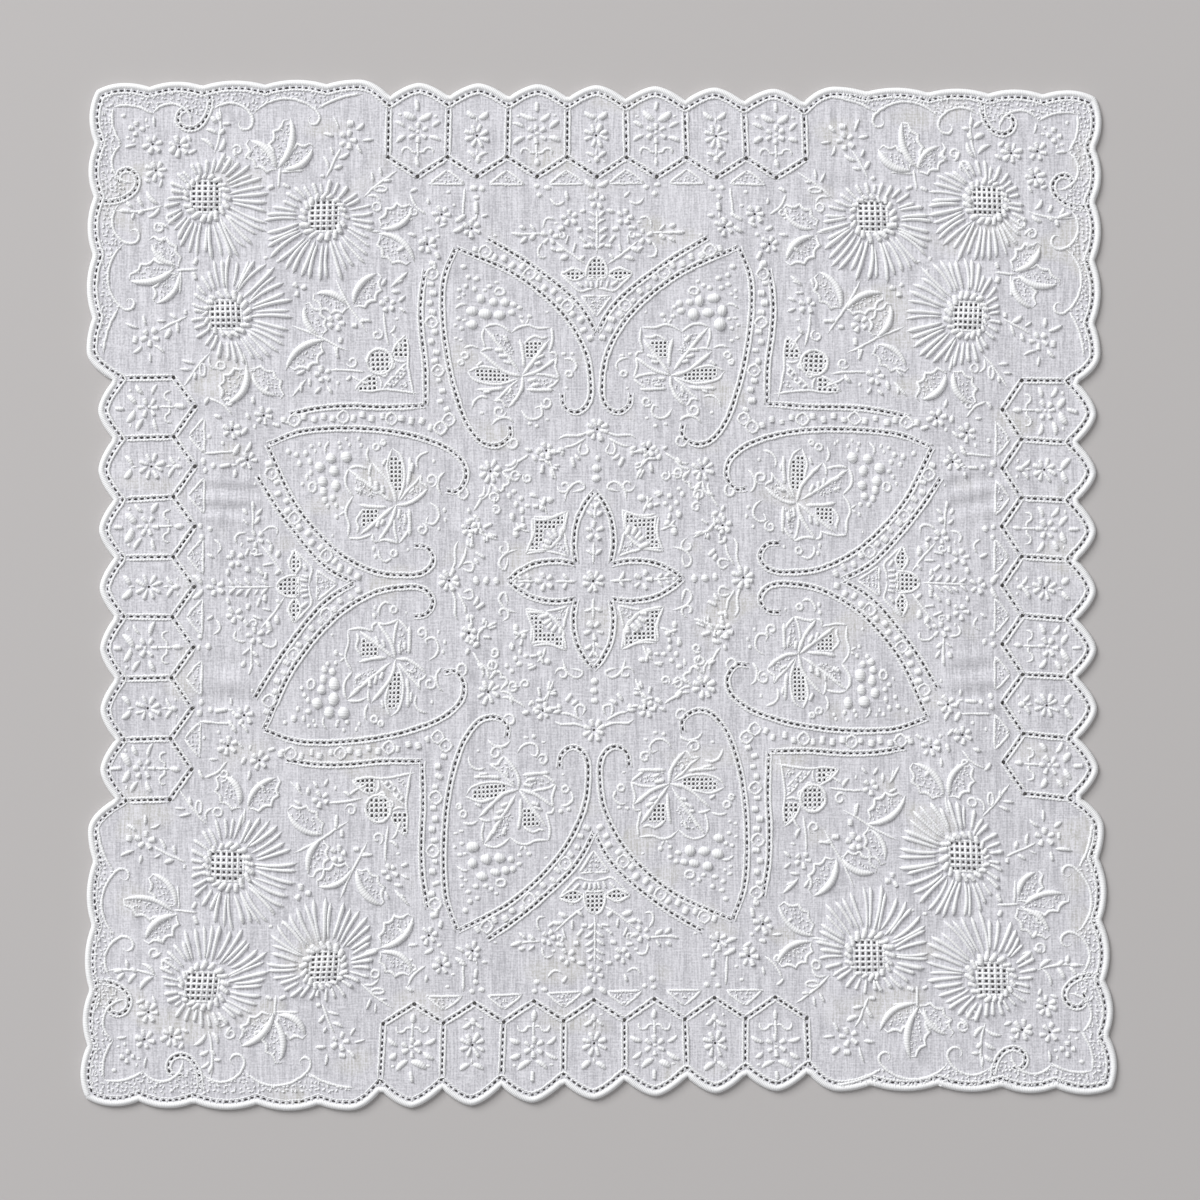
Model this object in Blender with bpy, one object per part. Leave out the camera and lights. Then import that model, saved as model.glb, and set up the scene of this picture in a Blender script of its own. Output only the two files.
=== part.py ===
"""Square embroidered handkerchief, lying flat: one piece of cloth with a scalloped, corded edge.

The design is drawn on an ideal square, one eighth of it at a time, and laid on the real cloth by a
soft stretch, because hand work is never quite square. Every length in the tables is in millimetres.
Across runs along a side from its middle, and out runs from the middle of the cloth to that side.
"""

import math
import random

import bmesh
import bpy
import numpy as np
from mathutils import Vector
from mathutils.geometry import delaunay_2d_cdt

MM = 0.001

# Driving sizes
HALF_SIDE = 151.5
SHEET_THICKNESS = 1.2
RIM_WIDTH = 1.9
RIM_RISE = 0.7
LINE_WIDTH = 1.6
LINE_RISE = 0.4
CORNER_CUT = 2.0
CELLS_PER_SIDE = 7
CELL_PITCH = 17.8
CORNER_SCALLOPS = (18.3, 18.6, 18.3, 16.2)
CELL_INNER_SHOULDER = 128.6
CELL_INNER_POINT = 122.8
CELL_FOLLOW = 0.5
EDGE_LINE_INSET = 2.4

# How a scallop falls to its notches: the power of the distance from its crest
CORNER_FALL = 2.0
CELL_FALL = 1.6

# How finely the shape is followed
CORNER_STEPS = 4
CELL_STEPS = 6
LINE_STEP = 5.0
GRID_STEP = 13.0
CLEAR_OF_LINES = 3.2
MERGE_DISTANCE = 0.02
LEAST_MITER = 0.6
TINY = 1e-9
SMOOTH_UNDER_DEGREES = 40

# The sides, counter-clockwise from the bottom: how deep the edge dips between the scallops of the
# corners and of the cells, how far the cells lie in, and how far the side sways along its length.
# name, corner_dip, cell_dip, cell_inset, sway
SIDES = (
    ("bottom", 1.7, 4.9, 0.4, -2.1),
    ("right", 1.9, 5.6, 1.1, 0.7),
    ("top", 1.4, 4.1, 1.0, 0.6),
    ("left", 1.7, 4.4, 3.4, -1.0),
)
HAND_SHIFT = 0.5
HAND_SEED = 11

# Where the corners, side middles and centre of the ideal square lie on the real cloth.
# row from the bottom up: left, middle, right, each (x, y)
ANCHORS = (
    ((-155.1, -153.2), (-0.6, -152.0), (157.0, -150.4)),
    ((-152.4, 1.5), (-0.2, 4.7), (151.2, 1.5)),
    ((-151.8, 153.2), (0.3, 153.8), (151.8, 151.1)),
)

# Openwork lines of one eighth of the cloth, through points (across, out).
RESERVE_AXIS_SIDE = (
    (41.6, 100.9), (24.1, 92.7), (10.6, 81.1), (3.4, 68.9), (1.7, 58.2), (2.6, 52.6), (6.2, 50.0),
    (9.8, 52.0), (10.4, 56.0),
)
RESERVE_CORNER_SIDE = (
    (41.6, 100.9), (45.0, 91.8), (45.8, 82.0), (45.4, 71.9), (44.3, 62.8), (42.6, 55.0),
    (39.6, 46.6), (35.0, 40.8), (30.0, 39.8), (26.2, 42.6), (26.4, 46.0),
)
BAND_AXIS_SIDE = ((32.5, 103.8), (21.4, 97.0), (10.0, 88.2), (4.2, 82.0), (0.0, 74.4))
BAND_CORNER_SIDE = ((50.6, 94.4), (52.2, 84.0), (52.3, 74.0), (51.6, 64.0), (51.8, 51.8))
STAR_PETAL = ((5.2, 5.4), (6.0, 11.0), (5.2, 18.0), (2.6, 23.5), (0.0, 26.8))

# Soft creases that still show where the cloth was folded: along each line the face stands proud.
# name, start_x, start_y, end_x, end_y, half_width, rise
CREASES = (
    ("right fold, upper", 104.0, 74.0, 111.0, 4.0, 12.0, 0.45),
    ("right fold, lower", 110.0, 8.0, 113.0, -66.0, 12.0, 0.40),
    ("left fold", -118.0, 60.0, -113.0, -20.0, 13.0, 0.40),
    ("upper middle fold", -40.0, 118.0, 46.0, 112.0, 12.0, 0.30),
)

CLOTH_COLOUR = (0.66, 0.66, 0.70, 1.0)
CLOTH_ROUGHNESS = 0.85


def side_to_plan(side, across, out):
    """Turn a point of one side, counted counter-clockwise from the bottom, into the plan square."""
    turned = ((across, -out), (out, across), (-across, out), (-out, -across))
    return turned[side]


def stretch(x, y):
    """Lay a point of the ideal square on the real cloth: a quadratic through the nine anchors."""
    u = x / HALF_SIDE
    v = y / HALF_SIDE
    weights_u = (u * (u - 1) / 2, 1 - u * u, u * (u + 1) / 2)
    weights_v = (v * (v - 1) / 2, 1 - v * v, v * (v + 1) / 2)
    laid = [0.0, 0.0]
    for weight_v, row in zip(weights_v, ANCHORS):
        for weight_u, anchor in zip(weights_u, row):
            laid[0] += weight_u * weight_v * anchor[0]
            laid[1] += weight_u * weight_v * anchor[1]
    return tuple(laid)


def notches_of_side(corner_dip, cell_dip, cell_inset, hand):
    """List the notches along a side as (across, depth), from one corner of the cloth to the next."""
    half_cells = CELLS_PER_SIDE * CELL_PITCH / 2
    places = [half_cells + sum(CORNER_SCALLOPS[:count]) for count in range(len(CORNER_SCALLOPS), 0, -1)]
    corner_half = [(-place, corner_dip) for place in places]
    cells = [(k * CELL_PITCH - half_cells, cell_inset + cell_dip) for k in range(CELLS_PER_SIDE + 1)]
    other_half = [(-across, depth) for across, depth in reversed(corner_half)]
    end = HALF_SIDE - CORNER_CUT
    inner = corner_half + cells + other_half
    shifted = [(across + hand.uniform(-HAND_SHIFT, HAND_SHIFT), depth) for across, depth in inner]
    return [(-end, CORNER_CUT)] + shifted + [(end, CORNER_CUT)]


def outline():
    """Trace the scalloped edge counter-clockwise, and list which points are each side's cell notches."""
    hand = random.Random(HAND_SEED)
    points = []
    cell_notches = []
    first_cell = 1 + len(CORNER_SCALLOPS)
    for side, (_name, corner_dip, cell_dip, cell_inset, sway) in enumerate(SIDES):
        notches = notches_of_side(corner_dip, cell_dip, cell_inset, hand)
        cell_notches.append([])
        for index in range(len(notches) - 1):
            in_cells = first_cell <= index < first_cell + CELLS_PER_SIDE
            crest = cell_inset if in_cells else 0.0
            steps = CELL_STEPS if in_cells else CORNER_STEPS
            if first_cell <= index <= first_cell + CELLS_PER_SIDE:
                cell_notches[side].append(len(points))
            (start, start_dip), (end, end_dip) = notches[index], notches[index + 1]
            for step in range(steps):
                along = step / steps
                dip = start_dip if along < 0.5 else end_dip
                fall = CELL_FALL if in_cells else CORNER_FALL
                inward = crest + (dip - crest) * abs(2 * along - 1) ** fall
                across = start + (end - start) * along
                out = HALF_SIDE - inward + sway * math.sin(math.pi * across / HALF_SIDE)
                points.append(stretch(*side_to_plan(side, across, out)))
    return np.array(points), cell_notches


def inset_loop(ring, distance):
    """Move a closed loop inwards by the distance, with its corners kept sharp."""
    before = ring - np.roll(ring, 1, axis=0)
    after = np.roll(ring, -1, axis=0) - ring
    before /= np.linalg.norm(before, axis=1)[:, None]
    after /= np.linalg.norm(after, axis=1)[:, None]
    normals = np.stack([-(before + after)[:, 1], (before + after)[:, 0]], axis=1)
    normals /= np.linalg.norm(normals, axis=1)[:, None]
    miter = np.maximum(LEAST_MITER, normals[:, 0] * -after[:, 1] + normals[:, 1] * after[:, 0])
    return ring + normals * (distance / miter)[:, None]


def smooth_curve(controls, step):
    """Draw a Catmull-Rom curve through the control points, with a point about every step."""
    knots = [Vector(point) for point in controls]
    knots = [2 * knots[0] - knots[1]] + knots + [2 * knots[-1] - knots[-2]]
    drawn = []
    for before, start, end, after in zip(knots, knots[1:], knots[2:], knots[3:]):
        pieces = max(1, round((end - start).length / step))
        for piece in range(pieces):
            t = piece / pieces
            drawn.append(
                0.5 * (2 * start + (end - before) * t
                       + (2 * before - 5 * start + 4 * end - after) * t ** 2
                       + (3 * start - before - 3 * end + after) * t ** 3)
            )
    return drawn + [knots[-2]]


def eighth_lines():
    """List the openwork curves of one eighth of the cloth."""
    curves = (RESERVE_AXIS_SIDE, RESERVE_CORNER_SIDE, BAND_AXIS_SIDE, BAND_CORNER_SIDE, STAR_PETAL)
    return [smooth_curve(controls, LINE_STEP) for controls in curves]


def design_lines(edge_line, cell_notches):
    """Lay all openwork lines on the cloth: eight eighths, and the walls and points of the cells."""
    lines = []
    half_cells = CELLS_PER_SIDE * CELL_PITCH / 2
    for side, (_name, _corner_dip, _cell_dip, cell_inset, _sway) in enumerate(SIDES):
        for mirror in (1, -1):
            for curve in eighth_lines():
                lines.append([stretch(*side_to_plan(side, mirror * across, out)) for across, out in curve])
        shoulder = CELL_INNER_SHOULDER - CELL_FOLLOW * cell_inset
        point = CELL_INNER_POINT - CELL_FOLLOW * cell_inset
        zigzag = []
        for wall, notch in enumerate(cell_notches[side]):
            across = wall * CELL_PITCH - half_cells
            foot = stretch(*side_to_plan(side, across, shoulder))
            head = tuple(edge_line[notch])
            halfway = ((foot[0] + head[0]) / 2, (foot[1] + head[1]) / 2)
            lines.append([foot, halfway, head])
            zigzag.append(foot)
            if wall < CELLS_PER_SIDE:
                zigzag.append(stretch(*side_to_plan(side, across + CELL_PITCH / 2, point)))
        lines.append(zigzag)
    return lines


def feet_of_line(line):
    """Give the two lines along the feet of a ridge, half its width to either side."""
    path = np.array(line)
    along = np.gradient(path, axis=0)
    along /= np.linalg.norm(along, axis=1)[:, None]
    sideways = np.stack([-along[:, 1], along[:, 0]], axis=1) * LINE_WIDTH / 2
    return path + sideways, path - sideways


def distance_to_segments(points, starts, ends):
    """Measure how far each point lies from the nearest of the segments."""
    spans = ends - starts
    lengths = np.maximum((spans ** 2).sum(axis=1), TINY)
    nearest = np.full(len(points), np.inf)
    for start, span, length in zip(starts, spans, lengths):
        offset = points - start
        share = np.clip((offset @ span) / length, 0.0, 1.0)
        gap = np.linalg.norm(offset - share[:, None] * span, axis=1)
        nearest = np.minimum(nearest, gap)
    return nearest


def segments_of(lines):
    """Split lines into the starts and ends of their segments."""
    starts = np.concatenate([np.array(line)[:-1] for line in lines])
    ends = np.concatenate([np.array(line)[1:] for line in lines])
    return starts, ends


def face_heights(points, edge, lines):
    """Work out the height of the upper face: the sheet, its creases, the ridges and the corded rim."""
    height = np.full(len(points), SHEET_THICKNESS)
    for _name, start_x, start_y, end_x, end_y, half_width, rise in CREASES:
        start = np.array([[start_x, start_y]])
        end = np.array([[end_x, end_y]])
        gap = distance_to_segments(points, start, end)
        height += rise * np.exp(-(gap / half_width) ** 2)
    to_line = distance_to_segments(points, *segments_of(lines))
    ridge = LINE_RISE * np.clip(1 - to_line / (LINE_WIDTH / 2), 0, 1)
    to_edge = distance_to_segments(points, *segments_of([np.vstack([edge, edge[:1]])]))
    rim = RIM_RISE * np.clip(1 - np.abs(to_edge - RIM_WIDTH / 2) / (RIM_WIDTH / 2), 0, 1)
    return height + np.maximum(ridge, rim)


def grid_points(edge, lines):
    """Spread a plain grid of points over the cloth, clear of the edge and of the lines."""
    low = edge.min(axis=0)
    high = edge.max(axis=0)
    columns = np.arange(low[0], high[0], GRID_STEP)
    rows = np.arange(low[1], high[1], GRID_STEP)
    spread = np.stack(np.meshgrid(columns, rows), axis=-1).reshape(-1, 2)
    to_line = distance_to_segments(spread, *segments_of(lines))
    to_edge = distance_to_segments(spread, *segments_of([np.vstack([edge, edge[:1]])]))
    return spread[(to_line > CLEAR_OF_LINES) & (to_edge > RIM_WIDTH + CLEAR_OF_LINES)]


def upper_face(edge, lines):
    """Fill the outline with triangles that follow the rim and the ridges."""
    rim_loops = [inset_loop(edge, RIM_WIDTH / 2), inset_loop(edge, RIM_WIDTH)]
    points = [tuple(point) for point in edge]
    constraints = []
    for loop in rim_loops:
        first = len(points)
        points += [tuple(point) for point in loop]
        constraints += [(first + k, first + (k + 1) % len(loop)) for k in range(len(loop))]
    for line in lines:
        for path in (line, *feet_of_line(line)):
            first = len(points)
            points += [tuple(point) for point in path]
            constraints += [(first + k, first + k + 1) for k in range(len(path) - 1)]
    points += [tuple(point) for point in grid_points(edge, lines)]
    loop_face = [list(range(len(edge)))]
    flat = [Vector(point) for point in points]
    inside_only = 1
    filled = delaunay_2d_cdt(flat, constraints, loop_face, inside_only, MERGE_DISTANCE)
    return np.array([tuple(point) for point in filled[0]]), filled[2]


def make_cloth(collection):
    """Model the handkerchief as one closed solid that lies flat on its lower face."""
    edge, cell_notches = outline()
    middle = (edge.min(axis=0) + edge.max(axis=0)) / 2
    lines = design_lines(inset_loop(edge, EDGE_LINE_INSET), cell_notches)
    points, faces = upper_face(edge, lines)
    heights = face_heights(points, edge, lines)

    model = bmesh.new()
    placed = points - middle
    corners = [model.verts.new((x * MM, y * MM, z * MM)) for (x, y), z in zip(placed, heights)]
    for face in faces:
        model.faces.new([corners[index] for index in face])
    rim_edges = [side for side in model.edges if side.is_boundary]
    hem = bmesh.ops.extrude_edge_only(model, edges=rim_edges)
    for item in hem["geom"]:
        if isinstance(item, bmesh.types.BMVert):
            item.co.z = 0.0
    lower_edges = [side for side in model.edges if side.is_boundary]
    bmesh.ops.edgeloop_fill(model, edges=lower_edges)
    bmesh.ops.triangulate(model, faces=[face for face in model.faces if len(face.verts) > 3])
    bmesh.ops.recalc_face_normals(model, faces=model.faces)

    mesh = bpy.data.meshes.new("cloth")
    model.to_mesh(mesh)
    model.free()
    mesh.shade_smooth()
    mesh.set_sharp_from_angle(angle=math.radians(SMOOTH_UNDER_DEGREES))
    cloth = bpy.data.objects.new("cloth", mesh)
    cloth.data.materials.append(cloth_material())
    collection.objects.link(cloth)
    return cloth


def cloth_material():
    """Make the pale, matt finish of fine cotton lawn."""
    material = bpy.data.materials.new("cloth")
    material.use_nodes = True
    shader = material.node_tree.nodes["Principled BSDF"]
    shader.inputs["Base Color"].default_value = CLOTH_COLOUR
    shader.inputs["Roughness"].default_value = CLOTH_ROUGHNESS
    shader.inputs["Metallic"].default_value = 0.0
    return material


def clear_scene():
    """Remove what a new file starts with."""
    for item in list(bpy.data.objects):
        bpy.data.objects.remove(item)


def main():
    """Build the handkerchief in its own collection."""
    clear_scene()
    collection = bpy.data.collections.new("handkerchief")
    bpy.context.scene.collection.children.link(collection)
    make_cloth(collection)


main()
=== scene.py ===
"""Looks of a square whitework handkerchief that lies flat, seen from straight above.

The lawn is one thin sheet with its drawn holes cut through. On it lie the padded stitches, each a
closed form with its own width and rise. The design is drawn in one eighth of an ideal square, repeated
in all eight, and laid on the real cloth by a soft stretch and the drift of the hand. Plan lengths are
in millimetres: across runs along a side from its middle, and out from the middle of the cloth to it.
"""

import logging
import math
import random
from dataclasses import dataclass, field
from enum import Enum

import bpy
import numpy as np
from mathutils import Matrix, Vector
from mathutils.geometry import delaunay_2d_cdt

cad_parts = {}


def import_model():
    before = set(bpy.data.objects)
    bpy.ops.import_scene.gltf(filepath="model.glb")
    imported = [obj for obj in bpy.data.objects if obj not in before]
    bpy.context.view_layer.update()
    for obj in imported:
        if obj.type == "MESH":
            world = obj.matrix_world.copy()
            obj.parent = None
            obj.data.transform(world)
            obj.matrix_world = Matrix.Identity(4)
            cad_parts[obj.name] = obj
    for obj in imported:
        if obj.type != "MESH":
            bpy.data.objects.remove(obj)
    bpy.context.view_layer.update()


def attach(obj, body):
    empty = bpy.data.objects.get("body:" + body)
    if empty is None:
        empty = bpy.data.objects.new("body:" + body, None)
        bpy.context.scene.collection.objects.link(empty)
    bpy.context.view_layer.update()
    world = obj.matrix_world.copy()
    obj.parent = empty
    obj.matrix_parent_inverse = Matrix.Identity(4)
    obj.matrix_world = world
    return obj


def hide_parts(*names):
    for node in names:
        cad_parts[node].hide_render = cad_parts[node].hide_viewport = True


LOG = logging.getLogger("handkerchief")
MM = 0.001
HALF_SIDE = 151.5
LAWN_TOP = 1.15
Table = tuple
# Where the stations of short stitches lie, as shares of the length
PLAIN_STATIONS = np.array([0, 0.5, 1.0])
BAR_STATIONS = np.array([0, 0.07, 0.25, 0.5, 0.75, 0.93, 1.0])
PETAL_STATIONS = np.array([0, 0.1, 0.3, 0.55, 0.78, 0.93, 1.0])
SQUARE = np.array([(-1, -1), (1, -1), (1, 1), (-1, 1)])


class Shape(Enum):
    """How wide a stitch is along its length, as a share of its greatest width."""

    ROUND = "round"
    BLOCK = "block"
    LEAF = "leaf"
    PETAL = "petal"
    CORD = "cord"

    def widths(self, share: np.ndarray) -> np.ndarray:
        """Give the width at each share of the length.

        Args:
            share: how far along the stitch, from 0 to 1.

        Returns:
            A half circle, a full block with nearly square ends, a leaf that is pointed at both ends,
            a petal that widens evenly to its rounded tip, or an even cord with rounded ends.
        """
        centred = np.abs(2 * share - 1)
        if self is Shape.ROUND:
            return np.sqrt(np.clip(1 - centred ** 2, 0, 1))
        if self is Shape.BLOCK:
            return np.sqrt(np.clip(1 - centred ** 10, 0, 1))
        if self is Shape.LEAF:
            return np.clip(np.sin(math.pi * share), 0, 1) ** 0.5
        if self is Shape.PETAL:
            return (0.62 + 0.38 * share) * np.sqrt(np.clip(1 - centred ** 7, 0, 1))
        return np.clip(8 * np.minimum(share, 1 - share), 0.3, 1)


@dataclass(frozen=True)
class Batch:
    """Stitches with the same number of stations: paths (n, m, 2), and widths and rises (n, m)."""

    paths: np.ndarray
    widths: np.ndarray
    rises: np.ndarray
    closed: bool = False


def turned_left(vectors: np.ndarray) -> np.ndarray:
    """Turn plan vectors a quarter turn to the left."""
    return np.stack([-vectors[..., 1], vectors[..., 0]], axis=-1)


def normalised(vectors: np.ndarray) -> np.ndarray:
    """Bring plan vectors to length 1."""
    return vectors / np.maximum(np.linalg.norm(vectors, axis=-1, keepdims=True), 1e-9)


def headings(angle: np.ndarray) -> np.ndarray:
    """Give the unit vector at each angle, in radians from the first axis."""
    return np.stack([np.cos(angle), np.sin(angle)], axis=-1)


def around(count: int) -> np.ndarray:
    """Give unit vectors evenly all around, from the first axis on."""
    return headings(np.linspace(0, 2 * math.pi, count + 1)[:-1])


def grid_points(across: np.ndarray, out: np.ndarray) -> np.ndarray:
    """Give the points of a grid, row by row."""
    return np.stack(np.meshgrid(across, out), axis=-1).reshape(-1, 2)


def bowed(starts: np.ndarray, ends: np.ndarray, share: np.ndarray,
          bend: float | np.ndarray = 0.0) -> np.ndarray:
    """Draw paths from start to end that bow sideways as a parabola, by bend times their length."""
    chord = (ends - starts)[:, None]
    lift = (np.broadcast_to(bend, len(starts))[:, None] * 4 * share * (1 - share))[..., None]
    return starts[:, None] + chord * share[:, None] + turned_left(chord) * lift


def evenly_along(path: np.ndarray, count: int) -> np.ndarray:
    """Place points evenly along a path.

    Args:
        path: the points of the path (m, 2).
        count: how many points to place, the two ends included.

    Returns:
        The points (count, 2), by linear interpolation over the length walked.
    """
    walked = np.concatenate([[0], np.cumsum(np.linalg.norm(np.diff(path, axis=0), axis=1))])
    wanted = np.linspace(0, walked[-1], count)
    return np.stack([np.interp(wanted, walked, path[:, axis]) for axis in (0, 1)], axis=-1)


def length_of(path: np.ndarray) -> float:
    """Measure a path."""
    return float(np.linalg.norm(np.diff(path, axis=0), axis=1).sum())


def smooth_path(controls: Table, step: float = 1.0) -> np.ndarray:
    """Draw a Catmull-Rom curve through control points.

    Args:
        controls: the points that it passes, each (across, out).
        step: about how far apart its points are.

    Returns:
        The points (m, 2), evenly spaced: between two controls each point is the cubic that leaves
        either one along the line between its neighbours.
    """
    knots = np.array(controls, float)
    knots = np.vstack([2 * knots[0] - knots[1], knots, 2 * knots[-1] - knots[-2]])
    t = np.linspace(0, 1, 13)[:-1, None]
    before, start, end, after = (knots[k:len(knots) - 3 + k, None] for k in range(4))
    drawn = 0.5 * (2 * start + (end - before) * t + (2 * before - 5 * start + 4 * end - after) * t ** 2
                   + (3 * start - before - 3 * end + after) * t ** 3)
    path = np.vstack([drawn.reshape(-1, 2), knots[-2]])
    return evenly_along(path, max(3, round(length_of(path) / step) + 1))


def spiral_path(across: float, out: float, radius: float, start: float, turns: float) -> np.ndarray:
    """Draw a curl that winds inwards: its radius falls evenly to a little over a quarter."""
    share = np.linspace(0, 1, max(6, round(14 * abs(turns))))
    angle = math.radians(start) + 2 * math.pi * turns * share
    reach = radius * (1 - 0.72 * share)
    return np.array([across, out]) + reach[:, None] * headings(angle)


def scallop_path(start: Table, end: Table, rise: float, curl: float = 0.0,
                 turns: float = 0.0) -> np.ndarray:
    """Draw an arc that turns to the left, and may wind on into a curl.

    Args:
        start: where it begins, (across, out).
        end: where its arc ends.
        rise: how far the arc bulges from the straight line between the two.
        curl: the radius with which the curl begins.
        turns: how far round the curl goes.

    Returns:
        The points (m, 2): steps along a heading that turns evenly in the arc, by one over its radius,
        and ever faster in the curl, whose radius falls evenly to 0.35 of its first one.
    """
    first, chord = np.array(start, float), np.array(end, float) - np.array(start, float)
    span = float(np.linalg.norm(chord))
    half_angle = 2 * math.atan(2 * rise / span)
    radius = span / 2 / math.sin(half_angle)
    kept = 0.35
    arc, wound = 2 * half_angle * radius, 2 * math.pi * turns * curl * (1 - kept) / math.log(1 / kept)
    length = arc + wound
    count = max(6, round(length / 0.6))
    walked = (np.arange(count) + 0.5) * length / count
    inward = np.clip((walked - arc) / max(wound, 1e-6), 0, 1)
    bend = np.where(walked < arc, 1 / radius, 1 / np.maximum(curl * (1 - (1 - kept) * inward), 0.1))
    turned = np.cumsum(bend) * length / count
    heading = math.atan2(chord[1], chord[0]) - half_angle + turned - bend * length / count / 2
    return np.vstack([first, first + np.cumsum(headings(heading) * length / count, axis=0)])


def inside(points: np.ndarray, polygon: np.ndarray) -> np.ndarray:
    """Tell which points lie in a polygon: a ray from them crosses its sides an odd number of times."""
    start, end = polygon[None], np.roll(polygon, -1, axis=0)[None]
    x, y = points[:, None, 0], points[:, None, 1]
    spans = (start[..., 1] > y) != (end[..., 1] > y)
    rise = np.where(end[..., 1] == start[..., 1], 1e-9, end[..., 1] - start[..., 1])
    crossing = start[..., 0] + (y - start[..., 1]) / rise * (end[..., 0] - start[..., 0])
    return (spans & (x < crossing)).sum(axis=1) % 2 == 1


def gap_to_line(points: np.ndarray, start: np.ndarray, end: np.ndarray) -> np.ndarray:
    """Measure how far points lie from a straight line between two points."""
    span = end - start
    share = np.clip((points - start) @ span / (span @ span), 0, 1)
    return np.linalg.norm(points - start - share[..., None] * span, axis=-1)


@dataclass
class Plan:
    """The ideal square, its eight equal parts, and how it lies on the real, hand-made cloth."""

    # Where the corners, side middles and centre of the ideal square lie, rows from the bottom up
    anchors: Table = (
        ((-155.1, -153.2), (-0.6, -152), (157, -150.4)), ((-152.4, 1.5), (-0.2, 4.7), (151.2, 1.5)),
        ((-151.8, 153.2), (0.3, 153.8), (151.8, 151.1)),
    )
    # How far the hand drifted off that inside the edge, (x, y), rows from the bottom up
    drift: Table = (
        ((2.6, -1.9), (1.4, -1.8), (0, -0.1), (-1, 1.1), (-1.4, 0.5)),
        ((2.5, -1.6), (0.5, -1.6), (-0.2, 0.6), (0, 1.1), (-2, 1.6)),
        ((3, -0.8), (1.7, -0.2), (-0.6, -0.9), (-0.7, 0.7), (-0.7, 0.2)),
        ((2.7, -0.3), (0.8, 0.3), (0.2, -0.3), (-0.4, 1.1), (0.3, -0.8)),
        ((-0.5, -0.6), (-0.6, -1), (0.2, -1.1), (1.3, -0.3), (2, -0.1)),
    )
    drift_step: float = 0.318
    # The sides, counter-clockwise from the bottom: corner_dip, cell_dip, cell_inset, sway
    sides: Table = ((1.7, 4.9, 0.4, -2.1), (1.9, 5.6, 1.1, 0.7), (1.4, 4.1, 1, 0.6), (1.7, 4.4, 3.4, -1))
    corner_scallops: Table = (18.3, 18.6, 18.3, 16.2)
    corner_cut: float = 2.0
    cells: int = 7
    cell_pitch: float = 17.8
    cell_shoulder: float = 128.6
    cell_point: float = 122.8
    # How far the inner ends and the sprays of the cells follow a side whose cells lie further in
    cell_follow: float = 0.5
    spray_follow: float = 0.55
    corner_fall: float = 2.0
    cell_fall: float = 1.6
    scallop_steps: int = 16
    hand_shift: float = 0.5
    hand_seed: int = 11
    # Soft creases where the cloth was folded: start_x, start_y, end_x, end_y, half_width, rise
    creases: Table = (
        (104, 74, 111, 4, 12, 0.45), (110, 8, 113, -66, 12, 0.40), (-118, 60, -113, -20, 13, 0.40),
        (-40, 118, 46, 112, 12, 0.30),
    )
    # Where the cloth puckers along its old folds: x, y, half_width, half_height, wavelength, rise, slant
    puckers: Table = (
        (-111.5, 28.5, 9.5, 7.2, 6, 0.36, 0.06), (-110, -26, 9, 9, 12, 0.5, 0.04),
        (112, 30.8, 9.5, 8, 7, 0.36, -0.22), (113, -26, 8.5, 10, 7.5, 0.34, -0.08),
    )
    wander: float = 0.3
    middle: np.ndarray = field(default_factory=lambda: np.zeros(2))

    def __post_init__(self) -> None:
        """Find the middle of the cloth's extents, which is the origin."""
        coarse, _notches = self.edge(steps=(4, 6))
        self.middle = (coarse.min(axis=0) + coarse.max(axis=0)) / 2

    def laid(self, plan: np.ndarray) -> np.ndarray:
        """Lay plan points on the real cloth.

        Args:
            plan: points of the ideal square (..., 2).

        Returns:
            The points about the origin (..., 2), from a quadratic through the nine anchors, plus the
            drift, which is spread by a squared cosine around each of its places and ends at the edge.
        """
        share = np.moveaxis(plan / HALF_SIDE, -1, 0)
        weights = np.stack([share * (share - 1) / 2, 1 - share ** 2, share * (share + 1) / 2])
        ideal = np.einsum("i...,j...,jik->...k", weights[:, 0], weights[:, 1], np.array(self.anchors))
        apart = np.stack([share / self.drift_step - place for place in range(-2, 3)])
        bells = np.cos(math.pi / 2 * np.clip(apart, -1, 1)) ** 2
        drifted = np.einsum("i...,j...,jik->...k", bells[:, 0], bells[:, 1], np.array(self.drift))
        return ideal + drifted - self.middle

    def to_side(self, side: int, points: np.ndarray) -> np.ndarray:
        """Turn (across, out) points of a side, counted from the bottom, into the plan square."""
        across, out = points[..., 0], points[..., 1]
        pairs = ((across, -out), (out, across), (-across, out), (-out, -across))
        return np.stack(pairs[side], axis=-1)

    def repeated(self, points: np.ndarray, mirrored: bool = True, follow: bool = False) -> np.ndarray:
        """Repeat stitches of one eighth of the plan in all of it.

        Args:
            points: paths (n, m, 2), each point (across, out).
            mirrored: whether each side has them on both its halves.
            follow: whether they follow the edge cells, which lie further in on some sides.

        Returns:
            The paths in the plan square, (8n, m, 2) or (4n, m, 2).
        """
        copies = []
        for side, (_dip, _cell_dip, inset, _sway) in enumerate(self.sides):
            for sign in (1, -1) if mirrored else (1,):
                moved = points * np.array([sign, 1.0])
                if follow:
                    moved = moved - np.array([0.0, self.spray_follow * inset])
                copies.append(self.to_side(side, moved))
        return np.concatenate(copies)

    def wandered(self, plan: np.ndarray) -> np.ndarray:
        """Let the hand stray: shift points by slow waves over the plan, a few tenths of a millimetre."""
        x, y = plan[..., 0], plan[..., 1]
        shift = np.stack([np.sin(x / 19 + y / 27 + 0.6) + np.sin(y / 11 - 1.9),
                          np.sin(y / 17 - x / 31 + 2.2) + np.sin(x / 12 + 0.4)], axis=-1)
        return plan + self.wander * shift / 2

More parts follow.
